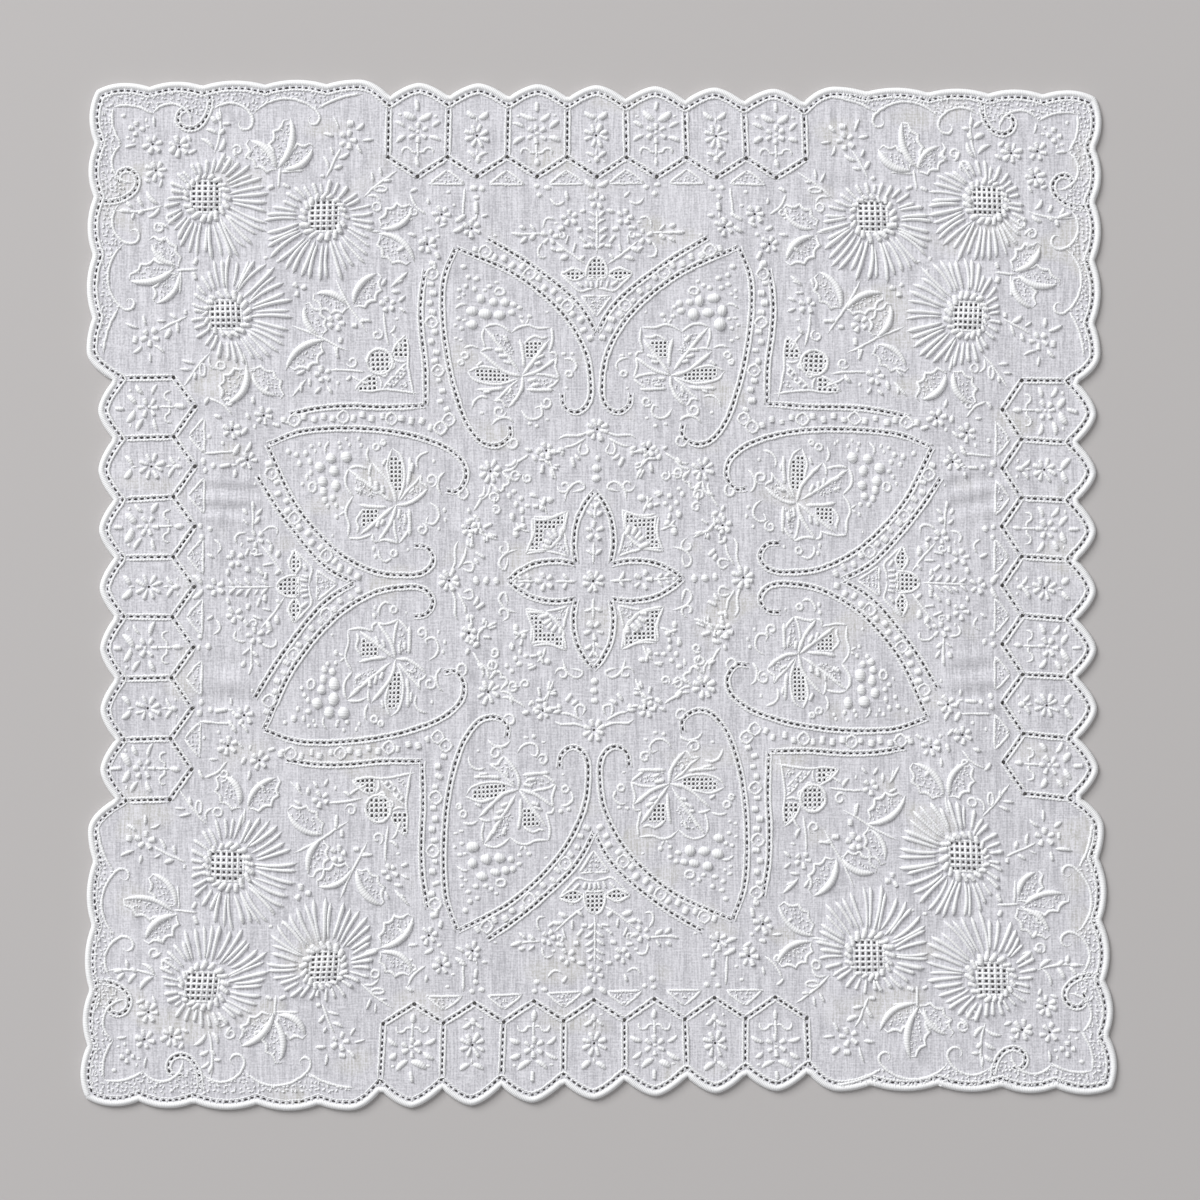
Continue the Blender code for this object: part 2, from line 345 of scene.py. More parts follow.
    def height(self, laid: np.ndarray) -> np.ndarray:
        """Work out the height of the lawn's face.

        It is the level, plus a bell across each soft crease, plus a fading cosine in each pucker.
        """
        height = np.full(laid.shape[:-1], LAWN_TOP)
        for start_x, start_y, end_x, end_y, half_width, rise in self.creases:
            start, end = np.array([start_x, start_y]), np.array([end_x, end_y])
            height = height + rise * np.exp(-(gap_to_line(laid, start, end) / half_width) ** 2)
        for x, y, half_width, half_height, wavelength, rise, slant in self.puckers:
            away_x, away_y = laid[..., 0] - x, laid[..., 1] - y
            fade = np.exp(-(away_x / half_width) ** 4 - (away_y / half_height) ** 4)
            height = height + rise * fade * np.cos(2 * math.pi * (away_y + slant * away_x) / wavelength)
        return height

    def notches(self, corner_dip: float, cell_dip: float, inset: float, hand: random.Random) -> list:
        """List the notches along a side as (across, depth), from one corner to the next."""
        half = self.cells * self.cell_pitch / 2
        counts = range(len(self.corner_scallops), 0, -1)
        corner = [(-(half + sum(self.corner_scallops[:count])), corner_dip) for count in counts]
        cells = [(k * self.cell_pitch - half, inset + cell_dip) for k in range(self.cells + 1)]
        inner = corner + cells + [(-across, depth) for across, depth in reversed(corner)]
        moved = [(across + hand.uniform(-self.hand_shift, self.hand_shift), depth)
                 for across, depth in inner]
        end = HALF_SIDE - self.corner_cut
        return [(-end, self.corner_cut)] + moved + [(end, self.corner_cut)]

    def edge(self, steps: tuple[int, int] | None = None) -> tuple[np.ndarray, list]:
        """Draw the scalloped edge counter-clockwise.

        Args:
            steps: points to a corner scallop and to a cell scallop, if not the usual number.

        Returns:
            The laid points (n, 2), and for each side the numbers of the points at its cells' notches.
            From its crest each scallop falls to its notches by a power of the distance.
        """
        corner_steps, cell_steps = steps or (self.scallop_steps, self.scallop_steps)
        hand = random.Random(self.hand_seed)
        pieces, cell_notches, count = [], [], 0
        first = 1 + len(self.corner_scallops)
        for side, (corner_dip, cell_dip, inset, sway) in enumerate(self.sides):
            notches = self.notches(corner_dip, cell_dip, inset, hand)
            cell_notches.append([])
            for index, ((start, start_dip), (end, end_dip)) in enumerate(zip(notches, notches[1:])):
                in_cells = first <= index < first + self.cells
                if first <= index <= first + self.cells:
                    cell_notches[side].append(count)
                here = cell_steps if in_cells else corner_steps
                along = np.arange(here) / here
                crest = inset if in_cells else 0.0
                fall = self.cell_fall if in_cells else self.corner_fall
                dip = np.where(along < 0.5, start_dip, end_dip)
                across = start + (end - start) * along
                out = HALF_SIDE - crest - (dip - crest) * np.abs(2 * along - 1) ** fall
                out = out + sway * np.sin(math.pi * across / HALF_SIDE)
                pieces.append(self.to_side(side, np.stack([across, out], axis=-1)))
                count += len(along)
        return self.laid(np.concatenate(pieces)), cell_notches


def counter_clockwise(loops: np.ndarray) -> np.ndarray:
    """Turn round those closed loops (n, corners, 2) that run clockwise, by the sign of their area."""
    after = np.roll(loops, -1, axis=1)
    area = (loops[..., 0] * after[..., 1] - loops[..., 1] * after[..., 0]).sum(axis=1)
    return np.where((area < 0)[:, None, None], loops[:, ::-1], loops)


def inset_loop(ring: np.ndarray, distance: float) -> np.ndarray:
    """Move a closed loop inwards by a distance, with its corners kept."""
    before = normalised(ring - np.roll(ring, 1, axis=0))
    after = normalised(np.roll(ring, -1, axis=0) - ring)
    normals = normalised(turned_left(before + after))
    miter = np.maximum(0.6, np.einsum("ij,ij->i", normals, turned_left(after)))
    return ring + normals * (distance / miter)[:, None]


def closed_sheet(name: str, top: np.ndarray, triangles: np.ndarray, thickness: float) -> bpy.types.Mesh:
    """Give a sheet its thickness.

    Args:
        name: the mesh's name.
        top: the points of its upper face (n, 3), in millimetres.
        triangles: its triangles (m, 3), counter-clockwise from above.
        thickness: how far the lower face lies below.

    Returns:
        The closed mesh: the face, the same face turned over below it, and a wall along each side that
        only one triangle has.
    """
    count = len(top)
    points = np.concatenate([top, top - np.array([0.0, 0.0, thickness])]) * MM
    sides = np.concatenate([triangles[:, [0, 1]], triangles[:, [1, 2]], triangles[:, [2, 0]]])
    open_sides = sides[~np.isin(sides[:, 0] * count + sides[:, 1], sides[:, 1] * count + sides[:, 0])]
    start, end = open_sides[:, 0], open_sides[:, 1]
    walls = np.stack([end, start, start + count, end + count], axis=-1)
    mesh = bpy.data.meshes.new(name)
    faces = triangles.tolist() + (triangles[:, ::-1] + count).tolist() + walls.tolist()
    mesh.from_pydata(points.tolist(), [], faces)
    mesh.shade_smooth()
    mesh.set_sharp_from_angle(angle=math.radians(50))
    return mesh


class MeshMaker:
    """Turns laid stitches into one mesh."""

    SINK = 0.35

    def __init__(self, plan: Plan, ring: int = 5) -> None:
        """Start an empty mesh on the cloth of a plan, with so many points around each stitch."""
        self.plan = plan
        self.ring = ring
        self.points: list[np.ndarray] = []
        self.maps: list[np.ndarray] = []
        self.quads: list[np.ndarray] = []
        self.caps: list[np.ndarray] = []
        self.count = 0

    def add(self, batch: Batch, level: float | None = None) -> None:
        """Add a batch of laid stitches.

        Each stitch is half an ellipse carried along its path: at the angle a from its left foot over
        the top to its right foot a point lies width * cos a sideways and rise * sin a above the feet,
        which are sunk into the cloth.

        Args:
            batch: the stitches, about the origin, in millimetres.
            level: the height of the feet, if they don't stand in the cloth.
        """
        paths, stitches, stations = batch.paths, *batch.paths.shape[:2]
        if batch.closed:
            along = np.roll(paths, -1, axis=1) - np.roll(paths, 1, axis=1)
        else:
            along = np.gradient(paths, axis=1)
        sideways = turned_left(normalised(along))
        angle = np.linspace(0, math.pi, self.ring)
        reach = batch.widths[..., None, None] * np.cos(angle)[:, None]
        flat = paths[:, :, None] + sideways[:, :, None] * reach
        feet = self.plan.height(paths) - self.SINK if level is None else np.full(paths.shape[:2], level)
        sunk = self.SINK if level is None else 0.0
        height = feet[..., None] + (batch.rises + sunk)[..., None] * np.sin(angle)
        self.points.append(np.concatenate([flat, height[..., None]], axis=-1).reshape(-1, 3))

        walked = np.cumsum(np.linalg.norm(np.diff(paths, axis=1, prepend=paths[:, :1]), axis=-1), axis=1)
        across = np.linspace(0, 1, self.ring) * 2 * batch.widths.max(axis=1)[:, None, None]
        walked = np.broadcast_to(walked[..., None], (stitches, stations, self.ring))
        across = np.broadcast_to(across, walked.shape)
        self.maps.append(np.stack([walked, across], axis=-1).reshape(-1, 2))

        number = np.arange(stitches * stations * self.ring).reshape(walked.shape) + self.count
        onward = np.roll(number, -1, axis=1)
        gaps = stations if batch.closed else stations - 1
        quads = [number, np.roll(number, -1, axis=2), np.roll(onward, -1, axis=2), onward]
        self.quads.append(np.stack(quads, axis=-1)[:, :gaps].reshape(-1, 4))
        if not batch.closed:
            self.caps += [number[:, 0, ::-1], number[:, -1]]
        self.count += number.size

    def build(self, name: str) -> bpy.types.Object:
        """Put all stitches into one mesh object.

        Args:
            name: the piece's name.

        Returns:
            The object, at the origin, with a UV map that runs along and across each stitch in
            millimetres.
        """
        points = np.concatenate(self.points) * MM
        quads = np.concatenate(self.quads)
        caps = np.concatenate(self.caps) if self.caps else np.zeros((0, self.ring), int)
        corners = np.concatenate([quads.ravel(), caps.ravel()])
        totals = np.concatenate([np.full(len(quads), 4), np.full(len(caps), self.ring)])
        mesh = bpy.data.meshes.new(name)
        mesh.vertices.add(len(points))
        mesh.vertices.foreach_set("co", points.ravel())
        mesh.loops.add(len(corners))
        mesh.loops.foreach_set("vertex_index", corners)
        mesh.polygons.add(len(totals))
        mesh.polygons.foreach_set("loop_start", np.concatenate([[0], np.cumsum(totals)[:-1]]))
        mesh.polygons.foreach_set("loop_total", totals)
        mesh.update(calc_edges=True)
        mesh.shade_smooth()
        thread_map = mesh.uv_layers.new(name="thread")
        thread_map.data.foreach_set("uv", np.concatenate(self.maps)[corners].ravel())
        mesh.validate()
        return new_object(name, mesh)


def new_object(name: str, mesh: bpy.types.Mesh) -> bpy.types.Object:
    """Put a mesh into the scene."""
    piece = bpy.data.objects.new(name, mesh)
    bpy.context.scene.collection.objects.link(piece)
    return piece


class Link:
    """A shader value, so that shader maths reads as plain expressions."""

    def __init__(self, graph: "Graph", socket: bpy.types.NodeSocket) -> None:
        """Wrap a node's output."""
        self.graph = graph
        self.socket = socket

    def maths(self, operation: str, first: object, second: object = 0.0) -> "Link":
        """Work out one Math node."""
        return self.graph.node("ShaderNodeMath", {"operation": operation}, {0: first, 1: second})

    def __add__(self, other: object) -> "Link":
        """Add."""
        return self.maths("ADD", self, other)

    __radd__ = __add__

    def __sub__(self, other: object) -> "Link":
        """Subtract."""
        return self.maths("SUBTRACT", self, other)

    def __rsub__(self, other: object) -> "Link":
        """Subtract from a number."""
        return self.maths("SUBTRACT", other, self)

    def __mul__(self, other: object) -> "Link":
        """Multiply."""
        return self.maths("MULTIPLY", self, other)

    __rmul__ = __mul__

    def sine(self) -> "Link":
        """Take the sine."""
        return self.maths("SINE", self)


class Graph:
    """The nodes of one material."""

    def __init__(self, name: str) -> None:
        """Start a material with its Principled shader."""
        self.material = bpy.data.materials.new(name)
        self.material.use_nodes = True
        self.tree = self.material.node_tree
        self.shader = self.tree.nodes["Principled BSDF"]

    def node(self, kind: str, settings: dict | None = None, sockets: dict | None = None,
             output: int | str = 0) -> Link:
        """Make a node.

        Args:
            kind: Blender's name for the node.
            settings: its properties, which are set first.
            sockets: values or links for its inputs, by number or name.
            output: which of its outputs to use.

        Returns:
            The output.
        """
        made = self.tree.nodes.new(kind)
        for name, value in (settings or {}).items():
            setattr(made, name, value)
        for key, value in (sockets or {}).items():
            self.feed(made.inputs[key], value)
        return Link(self, made.outputs[output])

    def feed(self, socket: bpy.types.NodeSocket, value: object) -> None:
        """Link an input to a shader value, or set it to a number, vector or colour."""
        if isinstance(value, Link):
            self.tree.links.new(value.socket, socket)
        else:
            socket.default_value = value

    def noise(self, scale: Table, detail: float = 2.0) -> Link:
        """Spread noise over the piece, with its own scale along each axis in features to a metre."""
        place = self.node("ShaderNodeTexCoord", output="Object")
        scaled = self.node("ShaderNodeMapping", {}, {"Vector": place, "Scale": scale})
        return self.node("ShaderNodeTexNoise", {}, {"Vector": scaled, "Scale": 1.0, "Detail": detail})

    def between(self, low: float, high: float, value: Link) -> Link:
        """Bring the part of a value from low to high to the range from 0 to 1."""
        sockets = {"Value": value, "From Min": low, "From Max": high}
        return self.node("ShaderNodeMapRange", {"clamp": True}, sockets)

    def blend(self, share: object, first: object, second: object) -> Link:
        """Mix two colours."""
        return self.node("ShaderNodeMix", {"data_type": "RGBA"}, {0: share, 6: first, 7: second}, 2)

    def set(self, **values: object) -> None:
        """Set the shader's own sockets, named with low lines for blanks."""
        for name, value in values.items():
            self.feed(self.shader.inputs[name.replace("_", " ")], value)


@dataclass(frozen=True)
class LawnFinish:
    """Fine cotton lawn: cool grey where it is sheer, with uneven threads and a few warmer patches."""

    cool: Table = (0.466, 0.463, 0.497, 1)
    warm: Table = (0.52, 0.51, 0.47, 1)
    thick_thread: Table = (0.77, 0.765, 0.81, 1)
    roughness: float = 0.85
    weave_depth: float = 0.00012
    # How many features to a metre along x, y and z
    patch_scale: Table = (38, 52, 1)
    warp_scale: Table = (1900, 150, 1)
    weft_scale: Table = (200, 2100, 1)
    streak_scale: Table = (420, 14, 1)
    grain_scale: Table = (1600, 1600, 1)

    def material(self) -> bpy.types.Material:
        """Build the material."""
        graph = Graph("lawn")
        patches = graph.between(0.60, 0.68, graph.noise(self.patch_scale, 1.0)) * 0.7
        ground = graph.blend(patches, self.cool, self.warm)
        warp = graph.noise(self.warp_scale)
        streaks = graph.noise(self.streak_scale, 1.0)
        weft = graph.noise(self.weft_scale)
        grain = graph.noise(self.grain_scale)
        threads = graph.between(0.41, 0.59, warp * 0.34 + weft * 0.2 + streaks * 0.16 + grain * 0.3)
        graph.set(Base_Color=graph.blend(threads, ground, self.thick_thread), Roughness=self.roughness)
        bump = graph.node("ShaderNodeBump", {}, {"Strength": 0.5, "Distance": self.weave_depth,
                                                  "Height": warp * 0.4 + weft * 0.25 + grain * 0.35})
        graph.set(Normal=bump, Sheen_Weight=0.1, Specular_IOR_Level=0.3)
        return graph.material


@dataclass(frozen=True)
class ThreadFinish:
    """White cotton thread, laid side by side across or along a stitch."""

    name: str
    pitch: float
    slant: float
    colour: Table = (0.88, 0.885, 0.895, 1)
    # The darker colour: that of uneven thread, and painted shade in the grooves between threads
    dark_tone_and_groove_shade: Table = (0.66, 0.665, 0.69, 1)
    # How strongly painted shade darkens the grooves between thread ridges
    groove_shade: float = 0.3
    roughness: float = 0.55
    depth: float = 0.0001

    def material(self) -> bpy.types.Material:
        """Build the material: ridges one thread wide, from the map along each stitch, with painted shade
        in the grooves between them.
        """
        graph = Graph(self.name)
        place = graph.node("ShaderNodeUVMap", {"uv_map": "thread"})
        along = graph.node("ShaderNodeSeparateXYZ", {}, {0: place}, "X")
        across = graph.node("ShaderNodeSeparateXYZ", {}, {0: place}, "Y")
        ridges = ((along + across * self.slant) * (2 * math.pi / self.pitch)).sine() * 0.5 + 0.5
        uneven = graph.noise((300, 300, 300))
        # Random darker patches of thread, plus painted shade in the grooves between the thread ridges
        tone_and_groove_shade = graph.between(0.5, 0.8, uneven) * 0.35 + (1 - ridges) * self.groove_shade
        graph.set(Base_Color=graph.blend(tone_and_groove_shade, self.colour, self.dark_tone_and_groove_shade), Roughness=self.roughness)
        bump = graph.node("ShaderNodeBump", {}, {"Strength": 0.6, "Distance": self.depth,
                                                  "Height": ridges * 0.8 + uneven * 0.4})
        graph.set(Normal=bump, Sheen_Weight=0.1, Specular_IOR_Level=0.25)
        return graph.material


@dataclass(frozen=True)
class TableFinish:
    """A plain pale surface."""

    colour: Table = (0.475, 0.458, 0.455, 1)

    def material(self) -> bpy.types.Material:
        """Build the material."""
        graph = Graph("table")
        graph.set(Base_Color=self.colour, Roughness=0.8)
        return graph.material


@dataclass
class ThreadWork:
    """Stitches and small holes of one piece, each a little off its place as hand work is."""

    name: str = "thread_work"
    seed: int = 3
    # How far the hand strays: by a share of a stitch, by a share of a hole, and in millimetres
    stray_size: float = 0.1
    stray_hole: float = 0.16
    stray_line: float = 0.05
    batches: list[Batch] = field(default_factory=list)
    holes: list[np.ndarray] = field(default_factory=list)

    def draw(self, plan: Plan) -> None:
        """Take up the cloth, with a hand that strays in the same way each run."""
        self.plan = plan
        self.hand = np.random.default_rng(self.seed)

    def even_batch(self, paths: np.ndarray, half_width: float, rise: float) -> None:
        """Add laid stitches that have one width and rise all along (n, m, 2)."""
        full = np.ones(paths.shape[:2])
        self.batches.append(Batch(paths, full * half_width, full * rise))

    def build(self, finish: bpy.types.Material) -> bpy.types.Object:
        """Make the piece: one mesh of all its stitches, dressed in its thread.

        Args:
            finish: the material of its thread.

        Returns:
            The object.
        """
        maker = MeshMaker(self.plan)
        for batch in self.batches:
            maker.add(batch)
        return finished(maker.build(self.name), finish)


@dataclass
class Needlework(ThreadWork):
    """Stitches of one part of the design, drawn in one eighth of the plan and repeated in all of it.

    Each table holds rows in millimetres and degrees, with its columns named above it.
    """

    # Two copies are the same path if place and size agree by steps to a millimetre, which are set off
    # a little so that no place on an axis lies between two
    SAME_STEPS = 5
    STEP_OFFSET = 0.0137

    name: str = "needlework"
    # across, out, petals, inner, outer, half_width, turn
    flowers: Table = ()
    # from_across, from_out, to_across, to_out, bend, half_width
    leaves: Table = ()
    # across, out, length, half_width, angle
    blocks: Table = ()
    # across, out, radius
    dots: Table = ()
    # points of each stem
    stems: Table = ()
    # across, out, radius_across, radius_out
    rings: Table = ()
    # across, out, radius, start, turns
    curls: Table = ()
    # outlines of the parts filled with seed stitches
    seeded: Table = ()
    # outlines of the parts drawn out into a lattice, and the distance between its holes
    lattices: Table = ()
    follow: bool = False
    # How much fuller the padding makes a stitch than it is drawn
    plump: float = 1.2
    eyelet: float = 0.4
    eyelet_from: int = 6
    stem_half_width: float = 0.46
    stem_rise: float = 0.46
    petal_rise: float = 0.8
    leaf_rise: float = 0.75
    block_rise: float = 0.7
    seed_pitch: float = 1.15
    seed_reach: float = 0.52
    seed_half_width: float = 0.36
    seed_rise: float = 0.5
    seed_shake: float = 0.42
    # How high a dot stands, as a share of its radius
    dot_rise: float = 0.62
    # Half the side of a lattice hole and half the width of its bars, as shares of their distance
    lattice_hole: float = 0.25
    lattice_bar: float = 0.23
    lattice_rise: float = 0.22
    # The least width of a stitch as a share of its greatest, and the power by which its rise follows
    thinnest: float = 0.02
    rise_power: float = 0.6
    # How far the hand strays: by the tangent of a turn, and in millimetres
    stray_turn: float = 0.12
    stray_place: float = 0.14

    def draw(self, plan: Plan) -> None:
        """Work out all stitches of this part."""
        super().draw(plan)
        self.draw_flowers(self.flowers)
        for rows, work in ((self.leaves, self.draw_leaves), (self.blocks, self.draw_blocks),
                           (self.dots, self.draw_dots)):
            if rows:
                work(np.array(rows, float))
        for points in self.stems:
            self.draw_stem(smooth_path(points))
        for *middle, radius_across, radius_out in self.rings:
            loop = np.array(middle) + np.array([radius_across, radius_out]) * around(12)
            self.draw_stem(loop, closed=True)
        for row in self.curls:
            self.draw_stem(spiral_path(*row))
        for outline in self.seeded:
            self.draw_seeds(np.array(outline, float))
        for outline, pitch in self.lattices:
            self.draw_lattice(np.array(outline, float), pitch)

    def everywhere(self, paths: np.ndarray, mirrored: bool = True) -> tuple[np.ndarray, np.ndarray]:
        """Repeat paths in all eighths, and leave out those that fall on themselves.

        Args:
            paths: the paths of one eighth (n, m, 2).
            mirrored: whether both halves of a side have them.

        Returns:
            The paths in the plan square, and for each one the number of the path that it repeats.
        """
        copies = self.plan.repeated(paths, mirrored, self.follow)
        source = np.tile(np.arange(len(paths)), len(copies) // len(paths))
        key = np.round(copies.mean(axis=1) * self.SAME_STEPS + self.STEP_OFFSET).astype(int)
        size = np.round(np.ptp(copies, axis=1).sum(axis=1) * self.SAME_STEPS).astype(int)
        _keys, kept = np.unique(np.column_stack([key, size]), axis=0, return_index=True)
        kept = np.sort(kept)
        return self.plan.wandered(copies[kept]), source[kept]

    def stitch(self, paths: np.ndarray, half_width: float | np.ndarray, rise: float | np.ndarray,
               shape: Shape, share: np.ndarray, mirrored: bool = True) -> None:
        """Add short stitches in all eighths, each a little off its place as hand work is.

        Args:
            paths: their paths in one eighth (n, m, 2).
            half_width: half of the greatest width, one for all or one for each (n,).
            rise: the greatest height, one for all or one for each (n,).
            shape: how the width runs along them.
            share: how far along each station lies (m,).
            mirrored: whether both halves of a side have them.
        """
        placed, source = self.everywhere(paths, mirrored)
        centre = placed.mean(axis=1, keepdims=True)
        turn = self.hand.normal(0, self.stray_turn, (len(placed), 1, 1))
        grow = 1 + self.hand.normal(0, self.stray_size, (len(placed), 1, 1))
        offset = placed - centre
        placed = centre + (offset + turned_left(offset) * turn) * grow
        placed = placed + self.hand.normal(0, self.stray_place, centre.shape)
        profile = np.maximum(shape.widths(share), self.thinnest)
        uneven = 1 + self.hand.normal(0, self.stray_size, (len(placed), 1))
        uneven = uneven + self.hand.normal(0, self.stray_size / 2, (len(placed), len(share)))
        sizes = (np.broadcast_to(size, len(paths))[source][:, None] for size in (half_width, rise))
        widths, rises = sizes
        rises = rises * profile ** self.rise_power * uneven
        self.batches.append(Batch(self.plan.laid(placed), widths * profile * uneven, rises))

    def draw_flowers(self, rows: Table) -> None:
        """Set petals as spokes around each flower's middle, and pierce the larger flowers there."""
        for across, out, petals, inner, outer, half_width, turn in rows:
            spokes = headings(np.radians(turn) + 2 * math.pi * np.arange(petals) / petals)
            middle = np.array([across, out])
            paths = bowed(middle + inner * spokes, middle + outer * spokes, PETAL_STATIONS)
            if petals >= self.eyelet_from:
                hole = middle + self.eyelet * headings(np.radians(np.arange(0, 360, 60)))
                self.holes.append(self.plan.laid(self.everywhere(hole[None])[0]))
            self.stitch(paths, half_width * self.plump, self.petal_rise, Shape.PETAL, PETAL_STATIONS)

    def draw_leaves(self, table: np.ndarray) -> None:
        """Set satin leaves, pointed at both ends and bowed to one side."""
        share = np.linspace(0, 1, 8)
        paths = bowed(table[:, :2], table[:, 2:4], share, table[:, 4])
        self.stitch(paths, table[:, 5] * self.plump, self.leaf_rise, Shape.LEAF, share)

    def draw_blocks(self, table: np.ndarray) -> None:
        """Set short satin bars."""
        reach = headings(np.radians(table[:, 4])) * table[:, 2:3] / 2
        paths = bowed(table[:, :2] - reach, table[:, :2] + reach, BAR_STATIONS)
        self.stitch(paths, table[:, 3] * self.plump, self.block_rise, Shape.BLOCK, BAR_STATIONS)

    def draw_dots(self, table: np.ndarray) -> None:
        """Set round padded dots."""
        reach = table[:, 2:3] * np.array([[1.0, 0.0]])
        share = (1 - np.cos(np.linspace(0, math.pi, 8))) / 2
        paths = bowed(table[:, :2] - reach, table[:, :2] + reach, share)
        self.stitch(paths, table[:, 2], table[:, 2] * self.dot_rise, Shape.ROUND, share)

    def draw_stem(self, path: np.ndarray, closed: bool = False, width: float = 1.0) -> None:
        """Lay a thin cord of stem stitches along a path in all eighths."""
        placed, _source = self.everywhere(path[None])
        share = np.linspace(0, 1, len(path))
        profile = np.ones(len(path)) if closed else Shape.CORD.widths(share)
        uneven = width * profile * (1 + self.hand.normal(0, self.stray_size, placed.shape[:2]))
        laid = self.plan.laid(placed + self.hand.normal(0, self.stray_line, placed.shape))
        self.batches.append(Batch(laid, self.stem_half_width * uneven, self.stem_rise * uneven, closed))

    def pierce(self, outlines: np.ndarray, mirrored: bool = True) -> None:
        """Cut small holes in all eighths, each a little off its place and size (n, corners, 2)."""
        placed, _source = self.everywhere(outlines, mirrored)
        centre = placed.mean(axis=1, keepdims=True)
        grow = 1 + self.hand.uniform(-self.stray_hole, self.stray_hole, (len(placed), 1, 1))
        placed = centre + (placed - centre) * grow + self.hand.normal(0, self.stray_line, centre.shape)
        self.holes.append(self.plan.laid(placed))

    def draw_seeds(self, outline: np.ndarray) -> None:
        """Strew an outline with seed stitches, on a shaken grid and at any angle."""
        low, high = outline.min(axis=0), outline.max(axis=0)
        grid = grid_points(*(np.arange(low[k], high[k], self.seed_pitch) for k in (0, 1)))
        grid = grid + self.hand.uniform(-self.seed_shake, self.seed_shake, grid.shape)
        grid = grid[inside(grid, outline)]
        if not len(grid):
            return
        reach = headings(self.hand.uniform(0, math.pi, len(grid))) * self.seed_reach
        paths = bowed(grid - reach, grid + reach, PLAIN_STATIONS)
        self.stitch(paths, self.seed_half_width, self.seed_rise, Shape.LEAF, PLAIN_STATIONS)

    def draw_lattice(self, outline: np.ndarray, pitch: float) -> None:
        """Draw a part out into square holes, with whipped bars between them.

        The holes keep to one grid over the whole cloth, as its threads do, so mirrored copies agree.
        """
        low, high = np.floor(outline.min(axis=0) / pitch), np.ceil(outline.max(axis=0) / pitch)
        centres = grid_points(*(np.arange(low[k], high[k]) * pitch + pitch / 2 for k in (0, 1)))
        centres = centres[inside(centres, outline)]
        self.pierce(centres[:, None] + SQUARE * (self.lattice_hole * pitch))
        starts, ends = [], []
        for step, along in (np.eye(2), np.eye(2)[::-1]):
            for sign in (-1, 1):
                beside = centres + sign * step * pitch / 2
                starts.append(beside - along * pitch / 2)
                ends.append(beside + along * pitch / 2)
        starts, ends = np.concatenate(starts), np.concatenate(ends)
        middles = np.round((starts + ends) * 2).astype(int)
        _keys, kept = np.unique(middles, axis=0, return_index=True)
        self.lay_bars(starts[kept], ends[kept], self.lattice_bar * pitch, self.lattice_rise)

    def lay_bars(self, starts: np.ndarray, ends: np.ndarray, half_width: float, rise: float,
                 mirrored: bool = True) -> None:
        """Lay straight even bars in all eighths."""
        placed, _source = self.everywhere(bowed(starts, ends, PLAIN_STATIONS), mirrored)
        self.even_batch(self.plan.laid(placed), half_width, rise)


def finished(piece: bpy.types.Object, finish: bpy.types.Material) -> bpy.types.Object:
    """Dress a piece, fix it to the part and report it."""
    piece.data.materials.append(finish)
    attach(piece, "root")
    piece.data.calc_loop_triangles()
    LOG.info("%s: %d triangles", piece.name, len(piece.data.loop_triangles))
    return piece


